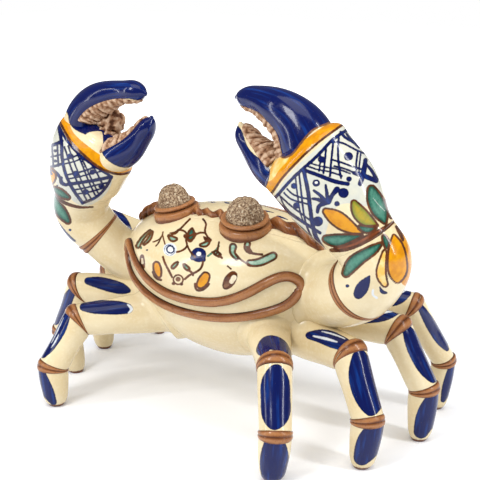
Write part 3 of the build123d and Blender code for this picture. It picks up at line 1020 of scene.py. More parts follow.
palm_marks = {
    "right": [
        *elbow_band,
        area("yellow", (
            (345, 124), (330, 118), (316.5, 128), (304, 139), (296.6, 148), (288, 155), (281.3, 156.4),
            (272.9, 162.6), (266, 170.2), (263, 181), (266, 196), (271.6, 194), (279.8, 180.6),
            (292, 166.8), (307.3, 151.4), (325.7, 136), (339.5, 126.4),
        )),
        # A lighter yellow along the band's lower edge, a painted highlight
        area("glow", (
            (290, 155), (281, 156), (273, 162), (268, 169), (265, 182), (270, 181), (279, 170), (288, 160),
        )),
        area("ground", (
            (272, 198), (292, 171), (326, 140), (346, 126), (372, 150), (384, 185), (380, 205), (340, 205),
            (316, 250), (300, 236),
        )),
        line("brown", (
            (268, 198), (271.4, 193.6), (279.8, 181.2), (292, 167.3), (307.3, 152), (325.7, 136.6),
            (339.5, 126.8), (348, 121),
        ), 0.9),
        *lines("blue", (
            (1.5,
             (270, 203), (274.4, 198.5), (285.9, 185.5), (301.2, 170.2), (319.6, 153.4), (333, 139.5),
             (343, 132.5), (350, 128)),
            ((1.8, 2.0, 2.0, 2.0, 1.2), (303.5, 170), (308, 191), (312, 222), (317, 239), (325, 250)),
            ((1.6, 1.9, 2.0, 1.8), (304, 170), (320.6, 176), (337, 182), (348, 184)),
            (0.9, (299, 173), (302, 199), (305, 220), (309, 232), (316, 244)),
            (0.7, (295.5, 177), (298, 199), (301, 215), (304, 224)),
            (0.8, (287, 189), (291, 193), (301.5, 197.5), (309, 199)),
            (0.8, (284, 193), (290, 198.5), (304, 203), (310, 205)),
            (0.8, (281, 197), (290, 205), (303, 215), (312, 222)),
            (1.5, (277, 202), (286, 210), (300, 220), (312, 228), (320, 233)),
            (0.8, (276, 206), (290, 218), (305, 231), (315, 241)),
            (0.7, (280, 196), (284, 205), (290, 212), (296, 218)),
            (0.8, (307, 166), (318, 169.5), (328, 171.5), (342, 176)),
            (0.7, (310, 163), (322, 166.5), (334, 168.5), (350, 173.5)),
            (1.0, (333.5, 141), (331.5, 158), (330, 176)),
            (1.0, (339, 138), (338, 152), (339, 166), (341, 178)),
            (0.9, (326, 149), (325, 160), (323.5, 173)),
            (0.7, (320, 155), (320, 164), (319, 171)),
            (0.9, (331, 142), (341, 142.5), (351, 147), (360, 151.5), (368, 154.5)),
            (0.9, (333, 160), (343, 163), (354, 167), (364, 170)),
            (0.8, (334, 166), (344, 168.5), (354, 172.5)),
            (0.9, (358, 151), (356.5, 162), (356, 173)),
            (0.7, (361, 153), (359.5, 164), (359, 173)),
            ((2.0, 2.6, 2.2), (365.5, 160), (363.5, 172), (360, 184)),
            ((1.8, 2.4, 2.2), (354, 173), (364, 176), (376, 181)),
            ((0.8, 1.6, 1.8), (364, 162), (371, 170), (377, 180)),
            (1.3, (341, 132), (345, 137), (352, 141), (359, 147)),
            (1.1, (347, 134), (351, 139), (356, 143.5)),
            ((1.8, 1.7, 1.2), (327, 203), (321, 196), (314, 190.5)),
            ((1.6, 1.8, 1.2), (327, 203), (320, 200), (313, 198.6)),
            ((1.8, 1.7, 1.0), (328, 202), (327, 194), (325.7, 185)),
            ((2.2, 2.2, 3.0), (329, 202), (333, 194), (337, 189.5)),
            ((2.2, 2.0, 1.6), (326, 203), (319, 206.5), (317.5, 212)),
        )),
        *dabs("blue", (
            (294, 186, 3.0), (296.5, 205.5, 3.2), (321.5, 159.5, 3.4), (348.5, 156.3, 4.4),
            (316.3, 183, 3.6), (343.5, 193, 5.0), (317.8, 221.4, 5.0), (337, 203.7, 2.6), (349, 179, 2.6),
            (328, 201.5, 3.2),
        )),
        dab("white", 316.3, 182.5, 1.3),
        petal("yellow", ((326, 211.5), (335.5, 217.5), (348, 226), (362, 233)), (3.2, 7.2, 6.2, 0.9)),
        *petals("green", (
            ((2.2, 3.6, 1.2), (360, 227.5), (367, 229.5), (376, 226.5)),
            ((3.6, 6.0, 4.8, 1.0), (326, 239), (334, 240.5), (346, 239), (362, 235.5)),
            ((4.2, 8.0, 7.6, 2.4), (371.5, 189.5), (375, 199.5), (380, 211), (384.5, 221.5)),
        )),
        *petals("olive", (
            ((2.8, 6.2, 6.2, 1.2), (354, 203), (358, 211), (366, 219.5), (377, 225.5)),
            ((1.6, 2.4, 1.4), (387.5, 201), (389.8, 209), (391, 217)),
        )),
        touch("yellow", ((361, 213), (368, 220), (376, 225)), (2.2, 3.8, 1.2)),
        # A white line along the green leaf, a painted highlight
        line("white", ((373, 198), (379, 205), (385, 211)), 0.1),
    ],
    "left": [
        area("yellow", (
            (57, 118), (61, 106), (70, 97), (79, 104), (73, 113), (70, 121), (72, 130), (80, 139.5),
            (93, 149.5), (106, 159), (117, 166.5), (131, 167.5), (139, 160), (139, 170), (128, 173),
            (114, 173), (99.5, 166.6), (85.7, 155.8), (72, 142), (61, 124),
        )),
        area("ground", (
            (58, 124), (82, 158), (112, 178), (104, 196), (84, 206), (60, 188), (46, 170), (48, 140),
        )),
        *lines("brown", (
            (0.9,
             (57, 117), (61.2, 124.6), (72, 142.9), (85.7, 156.6), (99.5, 167.3), (113.3, 173.3),
             (122, 174), (135, 170)),
            ((0.9, 1.4, 1.4, 1.1, 0.4), (52, 192), (58, 198.5), (68, 204), (80, 207.3), (93, 207)),
        )),
        *lines("blue", (
            (1.3, (55, 118), (59.7, 127.6), (68.9, 143), (82.7, 157.2), (98, 168), (111.7, 176.8)),
            (1.6, (59, 128), (61.5, 142), (62, 155), (65, 172), (70, 184), (76, 194), (82.7, 203)),
            (1.4, (82.7, 203), (92, 199.5), (100, 194), (107, 185.5), (111.7, 177)),
            (1.6, (67.3, 184.5), (80, 182.5), (95, 180), (111, 177)),
            (1.7, (50.5, 145.5), (56, 144), (62, 141)),
            (0.8, (64.5, 147), (68, 158), (72, 170), (79, 185), (87, 201)),
            (0.7, (68, 146), (72, 157), (77, 169), (83, 184), (91, 198.5)),
            (0.8, (77, 153), (82, 164), (88, 179), (95, 195)),
            (0.7, (81, 157), (86, 167), (92, 180), (98, 193)),
            (0.8, (92, 165), (97, 173), (102, 183), (105, 188)),
            (0.8, (63, 160), (72, 157.5), (79.5, 154)),
            (0.7, (64, 164), (74, 161.5), (84, 157.5)),
            (0.8, (66, 175), (78, 172.5), (89, 169), (98, 166)),
            (0.7, (67, 179), (80, 176.5), (93, 173), (103, 171)),
            (0.8, (73, 190), (84, 188), (96, 185), (108, 182.5)),
            (0.7, (76, 194), (87, 192.5), (98, 189.5), (106, 187)),
            (0.9, (52, 147), (52.5, 156), (53, 166)),
            (0.9, (57.5, 145), (57.8, 155), (58.5, 166)),
            (0.8, (49, 157), (55, 156), (61.5, 154.5)),
            (1.2, (49, 167), (55, 166), (62.5, 163.5)),
            ((1.0, 1.6, 1.3), (52, 170), (56, 173), (60, 178)),
            ((1.6, 1.9, 1.5), (61, 178), (61, 182), (66, 185)),
            (1.2, (47, 160), (48.5, 168), (51, 174)),
        )),
        *dabs("blue", (
            (70.4, 156.2, 2.9), (75.8, 173.6, 3.0), (85.7, 191.8, 3.0), (92.5, 172, 2.6), (101, 186, 2.4),
            (55.3, 150.8, 1.6), (55.3, 161, 1.6), (57, 186, 1.0),
        )),
        petal("yellow", ((51, 170.5), (51.5, 176.5), (51, 182)), (2.4, 4.2, 2.6)),
        petal("green", ((53, 188), (59.5, 192.5), (68, 197.5)), (1.6, 4.0, 2.2)),
    ],
}

elbow_marks = {
    "right": [
        *elbow_band,
        *petals("green", (
            ((4.2, 6.6, 6.0, 4.4, 1.4), (346, 273), (352, 264.5), (362, 256.5), (374, 249), (381, 243.5)),
            ((2.2, 3.2, 1.4), (384, 237), (386, 242), (386.5, 248)),
            ((0.4, 1.2, 0.4), (396, 226.5), (400, 233), (403, 240)),
        )),
        area("yellow", (
            (398, 227), (405, 236), (412, 250), (412, 274), (405, 286), (400, 280), (403, 262), (401, 245),
        )),
        # A lighter yellow beside the yellow petal, a painted highlight
        petal("glow", ((384.5, 252), (382, 264), (381.5, 276), (385, 284)), (2.0, 3.8, 4.6, 3.0)),
        petal("yellow", (
            (394, 236.5), (396, 247), (397.2, 261), (397.6, 273), (397.4, 279.5),
        ), (1.8, 7.0, 9.6, 8.2, 3.6)),
        touch("blue", ((369.8, 275.5), (366, 282), (361.5, 289), (358.5, 294)), (0.6, 4.2, 6.4, 5.2)),
        dab("blue", 347.3, 286, 1.7),
        line("chalk_and_highlight", ((373, 290), (373, 295), (377, 298)), 1.0),
        line("blue", ((380, 287), (382.5, 292), (387, 293)), (0.6, 1.8, 0.8)),
    ],
    "left": [
        petal("green", ((54, 196), (57.5, 206), (64, 215.5), (68, 221)), (2.4, 5.0, 4.8, 2.8)),
        line("blue", ((55, 218), (61, 228), (68, 236), (75, 241)), (1.0, 1.8, 1.8, 0.8)),
        dab("blue", 70, 230, 1.3),
    ],
}

crotch_pad = [
    area("slip", (
        (97.5, 128), (98, 120), (104, 110), (112, 104), (124, 103), (128, 112), (127, 124), (120, 131),
        (110, 138), (103, 146), (101.5, 140), (100.5, 132),
    )),
]

finger_marks = {
    ("right", "upper"): [
        area("blue", (
            (232, 84), (262, 82), (300, 88), (338, 112), (331, 121.5), (317, 127.5), (306, 137),
            (298, 147), (290, 155.5), (282, 157.5), (277, 145), (270, 128), (256, 112), (232, 106),
        ), "slip"),
    ],
    ("left", "upper"): [
        area("blue", (
            (62, 108), (72, 88), (100, 70), (130, 68), (150, 84), (150, 100), (130, 99), (116, 101),
            (104.1, 109.4), (98, 121.2), (96.5, 130), (90, 135), (81, 133), (73, 128), (69, 122),
            (67.5, 114),
        )),
        *crotch_pad,
    ],
    ("right", "lower"): [
        area("blue", (
            (230, 120), (240.5, 128.5), (247, 145), (257, 156.5), (268.5, 166.5), (266.5, 186), (262, 195),
            (236, 170),
        )),
    ],
    ("left", "lower"): [
        area("blue", (
            (152, 110), (144, 117), (134.7, 126), (122.5, 136), (105.8, 143.6), (101.8, 150.3),
            (107.1, 159.7), (116.3, 165.8), (130, 167.2), (140, 160), (165, 130), (160, 112),
        )),
        *crotch_pad,
    ],
}

# The blue stroke of each leg piece that shows its paint, and the painted highlights, pale lines, in some
# strokes
leg_strokes = {
    ("right", "front", "thigh"): (
        (6.0, 7.0, 7.0, 5.0, 2.0),
        (262, 350), (267, 343), (278, 344), (286, 352), (291, 362),
    ),
    ("right", "front", "shin"): (
        (8.0, 13.6, 14.8, 13.2, 8.0),
        (276, 372), (275.5, 382), (275.5, 400), (275.5, 415), (274.5, 422),
    ),
    ("right", "front", "foot"): (
        (11.0, 14.0, 13.6, 9.0),
        (274.5, 446), (274.5, 456), (274, 470), (273, 484),
    ),
    ("right", "second", "thigh"): ((3.6, 6.6, 8.0, 6.0), (309, 335.5), (320, 336), (333, 340), (346, 345)),
    ("right", "second", "shin"): (
        (8.0, 13.6, 15.2, 12.6, 8.0),
        (360, 358), (362.5, 372), (366.5, 388), (370.5, 401), (371, 408),
    ),
    ("right", "second", "foot"): ((6.0, 11.5, 12.2, 8.4), (379, 427), (373, 436), (367, 448), (362, 457)),
    ("right", "third", "thigh"): ((1.6, 4.6, 5.6, 3.4), (364, 322), (374, 318), (386, 314.5), (397, 311)),
    ("right", "third", "shin"): (
        (4.6, 8.6, 9.6, 8.4, 5.0),
        (407, 329), (413.5, 342), (421, 357), (428.5, 370), (433, 378),
    ),
    ("right", "third", "foot"): ((3.6, 9.0, 10.6, 7.4), (439, 391), (433, 403), (427, 416), (421, 431)),
    ("right", "rear", "thigh"): ((3.4, 6.0, 4.0), (388, 303), (397, 299), (407, 293)),
    ("right", "rear", "shin"): (
        (2.6, 4.8, 5.4, 4.2, 2.2),
        (419, 305), (427, 318), (436, 333), (443.5, 344), (447, 349),
    ),
    ("right", "rear", "foot"): ((2.4, 4.8, 5.0, 2.4), (453.5, 361), (451, 374), (447, 388), (443, 400)),
    ("left", "front", "thigh"): (
        (4.2, 6.4, 6.8, 6.4, 5.0),
        (84, 307), (93, 307), (108, 307.5), (120, 308), (127, 308.5),
    ),
    ("left", "front", "shin"): (
        (4.4, 6.6, 6.6, 5.2, 3.0),
        (66, 315), (61, 325), (54, 338), (46, 350), (43, 355),
    ),
    ("left", "front", "foot"): ((2.5, 5.0, 6.0, 3.2), (41, 369), (43.5, 380), (48, 392), (53.5, 402)),
    ("left", "second", "thigh"): (
        (3.6, 5.6, 6.4, 5.0, 2.6),
        (88, 281), (98, 282.5), (112, 286), (123, 289), (128, 290.5),
    ),
    ("left", "second", "shin"): ((3.4, 5.4, 5.6, 3.0), (74, 288), (68, 298), (61, 312), (56, 322)),
    ("left", "rear", "thigh"): ((6.0, 9.0, 6.0), (108, 212), (118, 222), (128, 240)),
}
leg_highlights = {
    ("right", "second", "thigh"): (
        ((0.5, 1.2, 0.5), (313, 336), (325, 338.5), (337, 342)),
        ((0.3, 0.7, 0.3), (322, 331.5), (334, 334.5), (345, 339)),
    ),
    ("right", "third", "thigh"): (
        ((0.4, 0.9, 0.4), (378, 314), (388, 311.5), (396, 311)),
    ),
    ("right", "rear", "thigh"): (
        ((0.3, 0.7, 0.3), (398, 295), (404, 291), (408, 289)),
    ),
    ("left", "front", "shin"): (
        ((0.0, 0.35, 0.0), (64, 317), (58, 330), (51.5, 343)),
        ((0.0, 0.6, 0.1), (59, 334), (55, 342), (51, 348)),
    ),
}
leg_marks = {
    key: [line("blue", points, radii), *lines("chalk_and_highlight", leg_highlights.get(key, ()))]
    for key, (radii, *points) in leg_strokes.items()
}
leg_marks[("left", "front", "thigh")].append(
    Mark("chalk_and_highlight", ((128, 305), (131.5, 309), (128.5, 313)), (1.0, 1.5, 0.8), "blue", 0.4)
)


# Colours, in sRGB from 0 to 255
pooled_blue = (2, 8, 40)
cream = (228, 212, 174)
cream_shade = (220, 200, 156)
cream_light = (234, 221, 190)
bare_tip = (104, 58, 34)
kiln_speck = (150, 120, 80)
# Brown of the coils: dark in the hollows as pooled glaze and painted shade, light on the crests as a painted
# highlight, with random stains
coil_colours = {"hollow": (44, 18, 6), "face": (116, 66, 32), "crest": (170, 116, 72), "stain": (84, 38, 18)}
# Slip: dark in the hollows as painted shade, light on the crests as a painted highlight
slip_colours = {"hollow": (92, 56, 34), "face": (158, 118, 88), "crest": (206, 176, 148)}
grit_colours = {
    "dark": (112, 84, 58), "light": (186, 160, 128), "hollow": (84, 58, 38), "grain": (222, 206, 178),
}
table_white = (244, 246, 251)
# The two tones between which each paint's streaks run
palette = {
    # Grey for the painted shade in the creases at the arms' roots
    "crease_shade": ((150, 150, 152), (186, 184, 176)),
    # The pale chalk paint, in the ring flowers and as painted highlights along the blue strokes of the legs
    "chalk_and_highlight": ((222, 226, 228), (206, 212, 220)),
    "ground": ((208, 207, 190), (200, 201, 190)),
    "pale": ((58, 108, 84), (186, 212, 188)),
    # glow: lighter yellow laid as a painted highlight
    "glow": ((236, 208, 140), (240, 184, 86)),
    "yellow": ((200, 128, 0), (217, 148, 2)),
    "olive": ((112, 124, 40), (190, 158, 10)),
    "green": ((0, 60, 46), (92, 156, 134)),
    "white": ((232, 232, 222), (222, 222, 218)),
    "slip": ((132, 92, 64), (96, 62, 42)),
    "rust": ((134, 72, 38), (112, 56, 28)),
    "bead": ((232, 222, 196), (206, 186, 150)),
    "blue": ((4, 18, 78), (10, 54, 128)),
    "brown": ((68, 34, 14), (98, 52, 26)),
}


def linear(colour):
    """A colour written in sRGB, as light."""
    shares = np.asarray(colour, float) / 255
    low = shares / 12.92
    high = ((shares + 0.055) / 1.055) ** 2.4
    return (*np.where(shares <= 0.04045, low, high), 1.0)


class Nodes:
    """Short names for building the nodes of a material or a world."""

    def __init__(self, owner, shader_name="Principled BSDF"):
        owner.use_nodes = True
        self.owner = owner
        self.tree = owner.node_tree
        self.shader = self.tree.nodes[shader_name]

    def new(self, kind, inputs=None, **settings):
        node = self.tree.nodes.new(kind)
        for key, value in settings.items():
            setattr(node, key, value)
        for key, value in (inputs or {}).items():
            self.feed(node.inputs[key], value)
        return node

    def feed(self, socket, value):
        if isinstance(value, bpy.types.NodeSocket):
            self.tree.links.new(value, socket)
        else:
            socket.default_value = value

    def set(self, name, value):
        self.feed(self.shader.inputs[name], value)

    def value(self, name):
        return self.new("ShaderNodeAttribute", attribute_name=name).outputs["Fac"]

    def vector(self, name):
        return self.new("ShaderNodeAttribute", attribute_name=name).outputs["Vector"]

    def ray(self, kind):
        return self.new("ShaderNodeLightPath").outputs[kind]

    def maths(self, operation, first, second):
        return self.new("ShaderNodeMath", {0: first, 1: second}, operation=operation).outputs[0]

    def plus(self, value, other, times):
        """A value with a multiple of another added."""
        return self.maths("ADD", value, self.maths("MULTIPLY", other, times))

    def ramp(self, value, low, high, to_low=0.0, to_high=1.0):
        inputs = {"Value": value, "From Min": low, "From Max": high, "To Min": to_low, "To Max": to_high}
        return self.new("ShaderNodeMapRange", inputs, interpolation_type="SMOOTHSTEP").outputs["Result"]

    def mix(self, share, first, second):
        return self.new("ShaderNodeMix", {0: share, 6: first, 7: second}, data_type="RGBA").outputs[2]

    def layered(self, colour, *coats):
        """A colour with others over it, each where its value passes from low to high, up to a share."""
        mixed = linear(colour)
        for value, low, high, share, coat in coats:
            mixed = self.mix(self.ramp(value, low, high, 0.0, share), mixed, linear(coat))
        return mixed

    def noise(self, vector, scale, detail=2.0, stretch=(1.0, 1.0, 1.0)):
        """Soft random values on places in millimetres, larger along one way where stretched."""
        spread = self.new("ShaderNodeVectorMath", {0: vector, 1: stretch}, operation="MULTIPLY")
        inputs = {"Scale": scale, "Detail": detail, "Vector": spread.outputs[0]}
        return self.new("ShaderNodeTexNoise", inputs).outputs["Fac"]

    def bump(self, height, distance, strength, normal=None):
        inputs = {"Height": height, "Distance": distance * METRES, "Strength": strength}
        if normal is not None:
            inputs["Normal"] = normal
        return self.new("ShaderNodeBump", inputs).outputs["Normal"]

    def places(self):
        """Places on the object, in millimetres."""
        places = self.new("ShaderNodeTexCoord").outputs["Object"]
        inputs = {0: places, 1: (1 / METRES,) * 3}
        return self.new("ShaderNodeVectorMath", inputs, operation="MULTIPLY").outputs[0]


def set_gloss(nodes, rough, coat, coat_rough=0.06):
    nodes.set("Roughness", rough)
    nodes.set("Coat Weight", coat)
    nodes.set("Coat Roughness", coat_rough)
    nodes.set("IOR", 1.5)
    nodes.set("Specular IOR Level", 0.2)


# How far inside a mark's edge each thin paint has cleared to its second tone
clear_depths = {"green": 2.8, "pale": 1.3, "olive": 2.8}
# Height above the table at which the brown of the bare tips ends
tip_from = 1.5
tip_to = 2.3


def glaze(name, paints, along_limb=True):
    """Cream glaze with brush-painted marks under a glossy coat."""
    nodes = Nodes(bpy.data.materials.new(name))
    places = nodes.places()
    grain = nodes.vector("grain")
    cloud = nodes.noise(places, 0.035, 3.0)
    broad = nodes.noise(places, 0.25, 2.0)
    fine = nodes.noise(places, 0.6, 4.0)
    stretch = (0.10, 1.0, 0.0) if along_limb else (1.0, 1.0, 1.0)
    streak = nodes.noise(grain, 0.42, 3.0, stretch)
    hair = nodes.noise(grain, 1.6, 3.0, stretch)
    wobble = nodes.maths("SUBTRACT", nodes.noise(places, 0.9, 3.0), 0.5)
    colour = nodes.layered(cream_shade, (cloud, 0.35, 0.68, 1.0, cream), (fine, 0.45, 0.8, 0.5, cream_light))
    for paint in paints:
        depth = nodes.maths("SUBTRACT", nodes.value(paint), FAR)
        mask = nodes.ramp(nodes.plus(depth, wobble, 0.5), -0.18, 0.22)
        first, second = palette[paint]
        if paint == "blue":
            streaks = (streak, 0.5, 0.75, 1.0, second)
            tone = nodes.layered(first, streaks, (hair, 0.55, 0.75, 0.5, pooled_blue))
            tone = nodes.mix(nodes.ramp(depth, 0.0, 0.9, 0.6, 0.0), tone, linear(pooled_blue))
        elif paint in clear_depths:
            middle = nodes.plus(depth, wobble, 1.4)
            cleared = (middle, 0.3, clear_depths[paint], 0.7, second)
            tone = nodes.layered(first, cleared, (fine, 0.4, 0.7, 0.35, first))
        else:
            tone = nodes.layered(first, (broad, 0.35, 0.65, 1.0, second))
        colour = nodes.mix(mask, colour, tone)
    height_above = nodes.new("ShaderNodeSeparateXYZ", {"Vector": places}).outputs["Z"]
    tip = nodes.ramp(nodes.plus(height_above, wobble, 1.2), tip_from, tip_to, 1.0, 0.0)
    colour = nodes.mix(tip, colour, linear(bare_tip))
    speck = nodes.ramp(nodes.noise(places, 1.4, 1.0), 0.77, 0.8, 0.0, 0.35)
    nodes.set("Base Color", nodes.mix(speck, colour, linear(kiln_speck)))
    set_gloss(nodes, nodes.ramp(fine, 0.3, 0.7, 0.16, 0.24), 0.3)
    soft = nodes.bump(nodes.noise(places, 0.09, 3.0), 0.6, 0.5)
    nodes.set("Normal", nodes.bump(fine, 0.05, 0.35, soft))
    return nodes.owner


def coil_brown(name):
    """Terracotta-brown glaze that pools dark beside each roll of clay, darkened there further as painted
    shade and lightened on the crest as a painted highlight.
    """
    nodes = Nodes(bpy.data.materials.new(name))
    streak = nodes.noise(nodes.vector("grain"), 0.7, 3.0, (0.12, 1.0, 0.0))
    rough = nodes.noise(nodes.places(), 0.8, 4.0)
    level = nodes.plus(nodes.value("crest"), nodes.maths("SUBTRACT", streak, 0.5), 0.7)
    nodes.set("Base Color", nodes.layered(
        coil_colours["hollow"],
        (level, 0.05, 0.5, 1.0, coil_colours["face"]),
        (level, 0.55, 1.05, 0.9, coil_colours["crest"]),
        (rough, 0.5, 0.75, 0.5, coil_colours["stain"]),
    ))
    set_gloss(nodes, nodes.ramp(rough, 0.3, 0.7, 0.22, 0.38), 0.3, 0.12)
    nodes.set("Normal", nodes.bump(streak, 0.25, 0.6, nodes.bump(rough, 0.15, 0.4)))
    return nodes.owner


def rough_slip(name):
    """Dry, scalloped slip: tan crests over dark brown hollows, the hollows darkened as painted shade and the
    crests lightened as a painted highlight.
    """
    nodes = Nodes(bpy.data.materials.new(name))
    places = nodes.places()
    rough = nodes.noise(places, 0.9, 5.0)
    level = nodes.plus(nodes.value("crest"), nodes.maths("SUBTRACT", rough, 0.5), 0.9)
    nodes.set("Base Color", nodes.layered(
        slip_colours["hollow"],
        (level, 0.15, 0.55, 1.0, slip_colours["face"]),
        (level, 0.55, 1.0, 0.9, slip_colours["crest"]),
    ))
    set_gloss(nodes, nodes.ramp(rough, 0.3, 0.7, 0.5, 0.7), 0.05, 0.3)
    nodes.set("Normal", nodes.bump(nodes.noise(places, 3.0, 3.0), 0.3, 0.7, nodes.bump(rough, 0.6, 0.6)))
    return nodes.owner


def grit(name):
    """Coarse sand pressed into the clay."""
    nodes = Nodes(bpy.data.materials.new(name))
    places = nodes.places()
    cells = nodes.new("ShaderNodeTexVoronoi", {"Scale": 1.3, "Vector": places})
    tint = nodes.new("ShaderNodeSeparateColor", {"Color": cells.outputs["Color"]}).outputs["Red"]
    rough = nodes.noise(places, 1.1, 5.0)
    nodes.set("Base Color", nodes.layered(
        grit_colours["dark"],
        (tint, 0.1, 0.9, 1.0, grit_colours["light"]),
        (rough, 0.5, 0.72, 0.75, grit_colours["hollow"]),
        (tint, 0.9, 0.96, 0.7, grit_colours["grain"]),
    ))
    nodes.set("Roughness", 0.75)
    nodes.set("Normal", nodes.bump(nodes.maths("ADD", cells.outputs["Distance"], rough), 0.5, 0.9))
    return nodes.owner


body_paints = ("crease_shade", "chalk_and_highlight", "pale", "yellow", "green", "blue", "white", "brown", "slip", "bead")
claw_paints = (
    "ground", "yellow", "glow", "olive", "green", "blue", "slip", "chalk_and_highlight", "brown", "rust", "white"
)
materials = {
    "body_glaze": glaze("body_glaze", body_paints, False),
    "limb_glaze": glaze("limb_glaze", ("blue", "chalk_and_highlight")),
    "claw_glaze": glaze("claw_glaze", claw_paints),
    "blue_glaze": glaze("blue_glaze", ("blue", "slip")),
    "brown_glaze": coil_brown("brown_glaze"),
    "rough_brown": rough_slip("rough_brown"),
    "grit": grit("grit"),
}


def body():
    """The lid and the bowl, whose outer and inner rings run from pole to seam and back."""
    seam = np.pi / 2
    crown = np.linspace(near_pole, seam, crown_rows)
    bowl = np.linspace(seam, np.pi - near_pole, bowl_rows)
    inner_crown = np.linspace(seam, inner_near_pole, inner_rows)
    inner_bowl = np.linspace(np.pi - inner_near_pole, seam, inner_rows)
    body_piece("carapace", crown, inner_crown, face_marks, crown_marks, True)
    body_piece("face_and_belly", bowl, inner_bowl, face_marks, [], False)


def claw_rows(shares, sign):
    """Middles, directions and half sizes at the stations of an arm or a finger."""
    centres = [
        np.array((sign * (body_width / 2 + x * claw_reach), y * claw_lean, z * claw_height))
        for x, y, z, _, _ in shares
    ]
    last = len(centres) - 1
    rows = []
    for i, (_, _, _, width, depth) in enumerate(shares):
        direction = unit(centres[min(i + 1, last)] - centres[max(i - 1, 0)])
        rows.append((centres[i], direction, width * palm_radius, depth * palm_radius))
    return rows


# Toothed pads: how far they rise, are lifted and sink in, the half angle they cover, where
# they start and end along a finger, and the turns of their scallops per millimetre
tooth_rise = 2.6
tooth_lift = 0.1
tooth_sink = 0.8
tooth_spread = np.radians(62)
tooth_end_share = 0.965
teeth_from_shares = {
    ("right", "upper"): 0.2, ("right", "lower"): 0.2, ("left", "upper"): 0.3, ("left", "lower"): 0.06,
}
scallop_turn = 0.55
fine_scallop_turn = 0.9
tooth_rows = 110
tooth_columns = 60
tooth_under_columns = 12
# Lumps of slip in the fork of a claw: places on the photograph, and radii
fork_places = {"left": (((110, 120), 8.2), ((106.5, 135), 7.6))}
fork_rows = 48
fork_columns = 72


def lumpiness(points, size):
    """Smooth random values at a grid of points."""
    return np.array([[noise.noise(Vector(point) * size) for point in row] for row in points])


def tooth_strip(node, limb, middle, start_share, fork):
    """A rough, scalloped strip pressed along the inner face of a finger."""
    first, last = limb.length * start_share, limb.length * tooth_end_share
    along = np.linspace(first, last, tooth_rows)
    share = (along - first) / (last - first)
    half = tooth_spread * np.sqrt(np.clip(1 - share**5, 0.02, 1))
    across_share, top = band_shares(tooth_columns, tooth_under_columns)
    angle = middle + half[:, None] * across_share
    places = np.broadcast_to(along[:, None], angle.shape)
    rim = np.sqrt(np.clip(1 - np.abs(across_share) ** 3, 0, 1))
    lumps = np.abs(np.cos(places * scallop_turn + 1.1 * np.sin(angle * 3))) ** 0.7
    fine_lumps = np.abs(np.sin(places * fine_scallop_turn + across_share * 2.6 + 1)) ** 0.8
    points, _ = limb.surface(places, angle)
    level = 0.55 * lumps + 0.45 * fine_lumps + 0.5 * lumpiness(points, 0.55)
    taper = 1 - 0.65 * share[:, None]
    risen = tooth_lift + tooth_rise * taper * rim * (0.25 + 0.75 * level)
    points, _ = limb.surface(places, angle, np.where(top, risen, -tooth_sink))
    shape = Shape()
    # The slip's colour follows the height of the lumps: painted shade low, painted highlight high
    shape.add(points, {"crest": np.broadcast_to(np.where(top, level, 0), angle.shape)})
    for place, radius in fork:
        fill_fork(shape, limb.frames(0.0)[0][0], place, radius)
    shape.write(node, "rough_brown")


def fill_fork(shape, near, place, radius):
    """Rough slip in the fork of a claw, at a place on the photograph and as far off as a point."""
    shown = to_photo(near[None])[0]
    centre = near + (view_right * (place[0] - shown[0]) - view_up * (place[1] - shown[1])) * pixel_size
    rise = np.linspace(-1.5, 1.5, fork_rows)[:, None]
    turn = round_turns(fork_columns)[None]
    ball = np.stack((np.cos(rise) * np.cos(turn), np.cos(rise) * np.sin(turn), np.sin(rise) + 0 * turn), -1)
    lumps = lumpiness(ball, 2.6) + 0.4 * lumpiness(ball, 6.0)
    points = centre + ball * (radius * (1 + 0.22 * lumps))[..., None]
    # The slip's colour follows the height of the lumps: painted shade low, painted highlight high
    shape.add(points, {"crest": np.clip(0.5 + 1.2 * lumps, 0, 1)})


def claw(side, sign):
    """Arm, elbow and palm from one line of stations, and the two fingers with their teeth."""
    limb = Limb(claw_rows(arm_shares[side], sign), across)
    bend, crease = limb.knots[elbow_station], limb.knots[palm_station]
    marks = palm_marks[side] + finger_marks[(side, "upper")] + finger_marks[(side, "lower")]
    limb_piece(f"{side}_arm", "limb_glaze", limb, 0, bend, column_step, [], fillet=root_fillet)
    limb_piece(f"{side}_elbow", "claw_glaze", limb, bend, crease, claw_step, elbow_marks[side])
    limb_piece(f"{side}_palm", "claw_glaze", limb, crease, limb.length, claw_step, marks, cap=palm_cap)
    shape = Shape()
    add_collar(shape, Window(limb, 0, bend), Window(limb, bend, limb.length), elbow_collar_widths)
    shape.write(f"{side}_elbow_collar", "brown_glaze")
    inner_faces = {"upper": np.pi if sign > 0 else 0.0, "lower": 0.0 if sign > 0 else np.pi}
    for name, middle in inner_faces.items():
        node = f"{side}_{name}_finger"
        finger = Limb(claw_rows(finger_shares[(side, name)], sign), across)
        marks = finger_marks[(side, name)]
        limb_piece(node, "blue_glaze", finger, 0, finger.length, column_step, marks, cap=finger_cap)
        fork = fork_places.get(side, ()) if name == "lower" else ()
        tooth_strip(f"{node}_teeth", finger, middle, teeth_from_shares[(side, name)], fork)


def round_rows(start, end, radius, shares):
    """Round sections along a straight run, at shares of it and multiples of the radius."""
    span = end - start
    return [(start + span * place, unit(span), swell * radius, swell * radius) for place, swell in shares]


# Marks of a leg piece reach this far round to the side turned away
leg_wrap = np.radians(50)


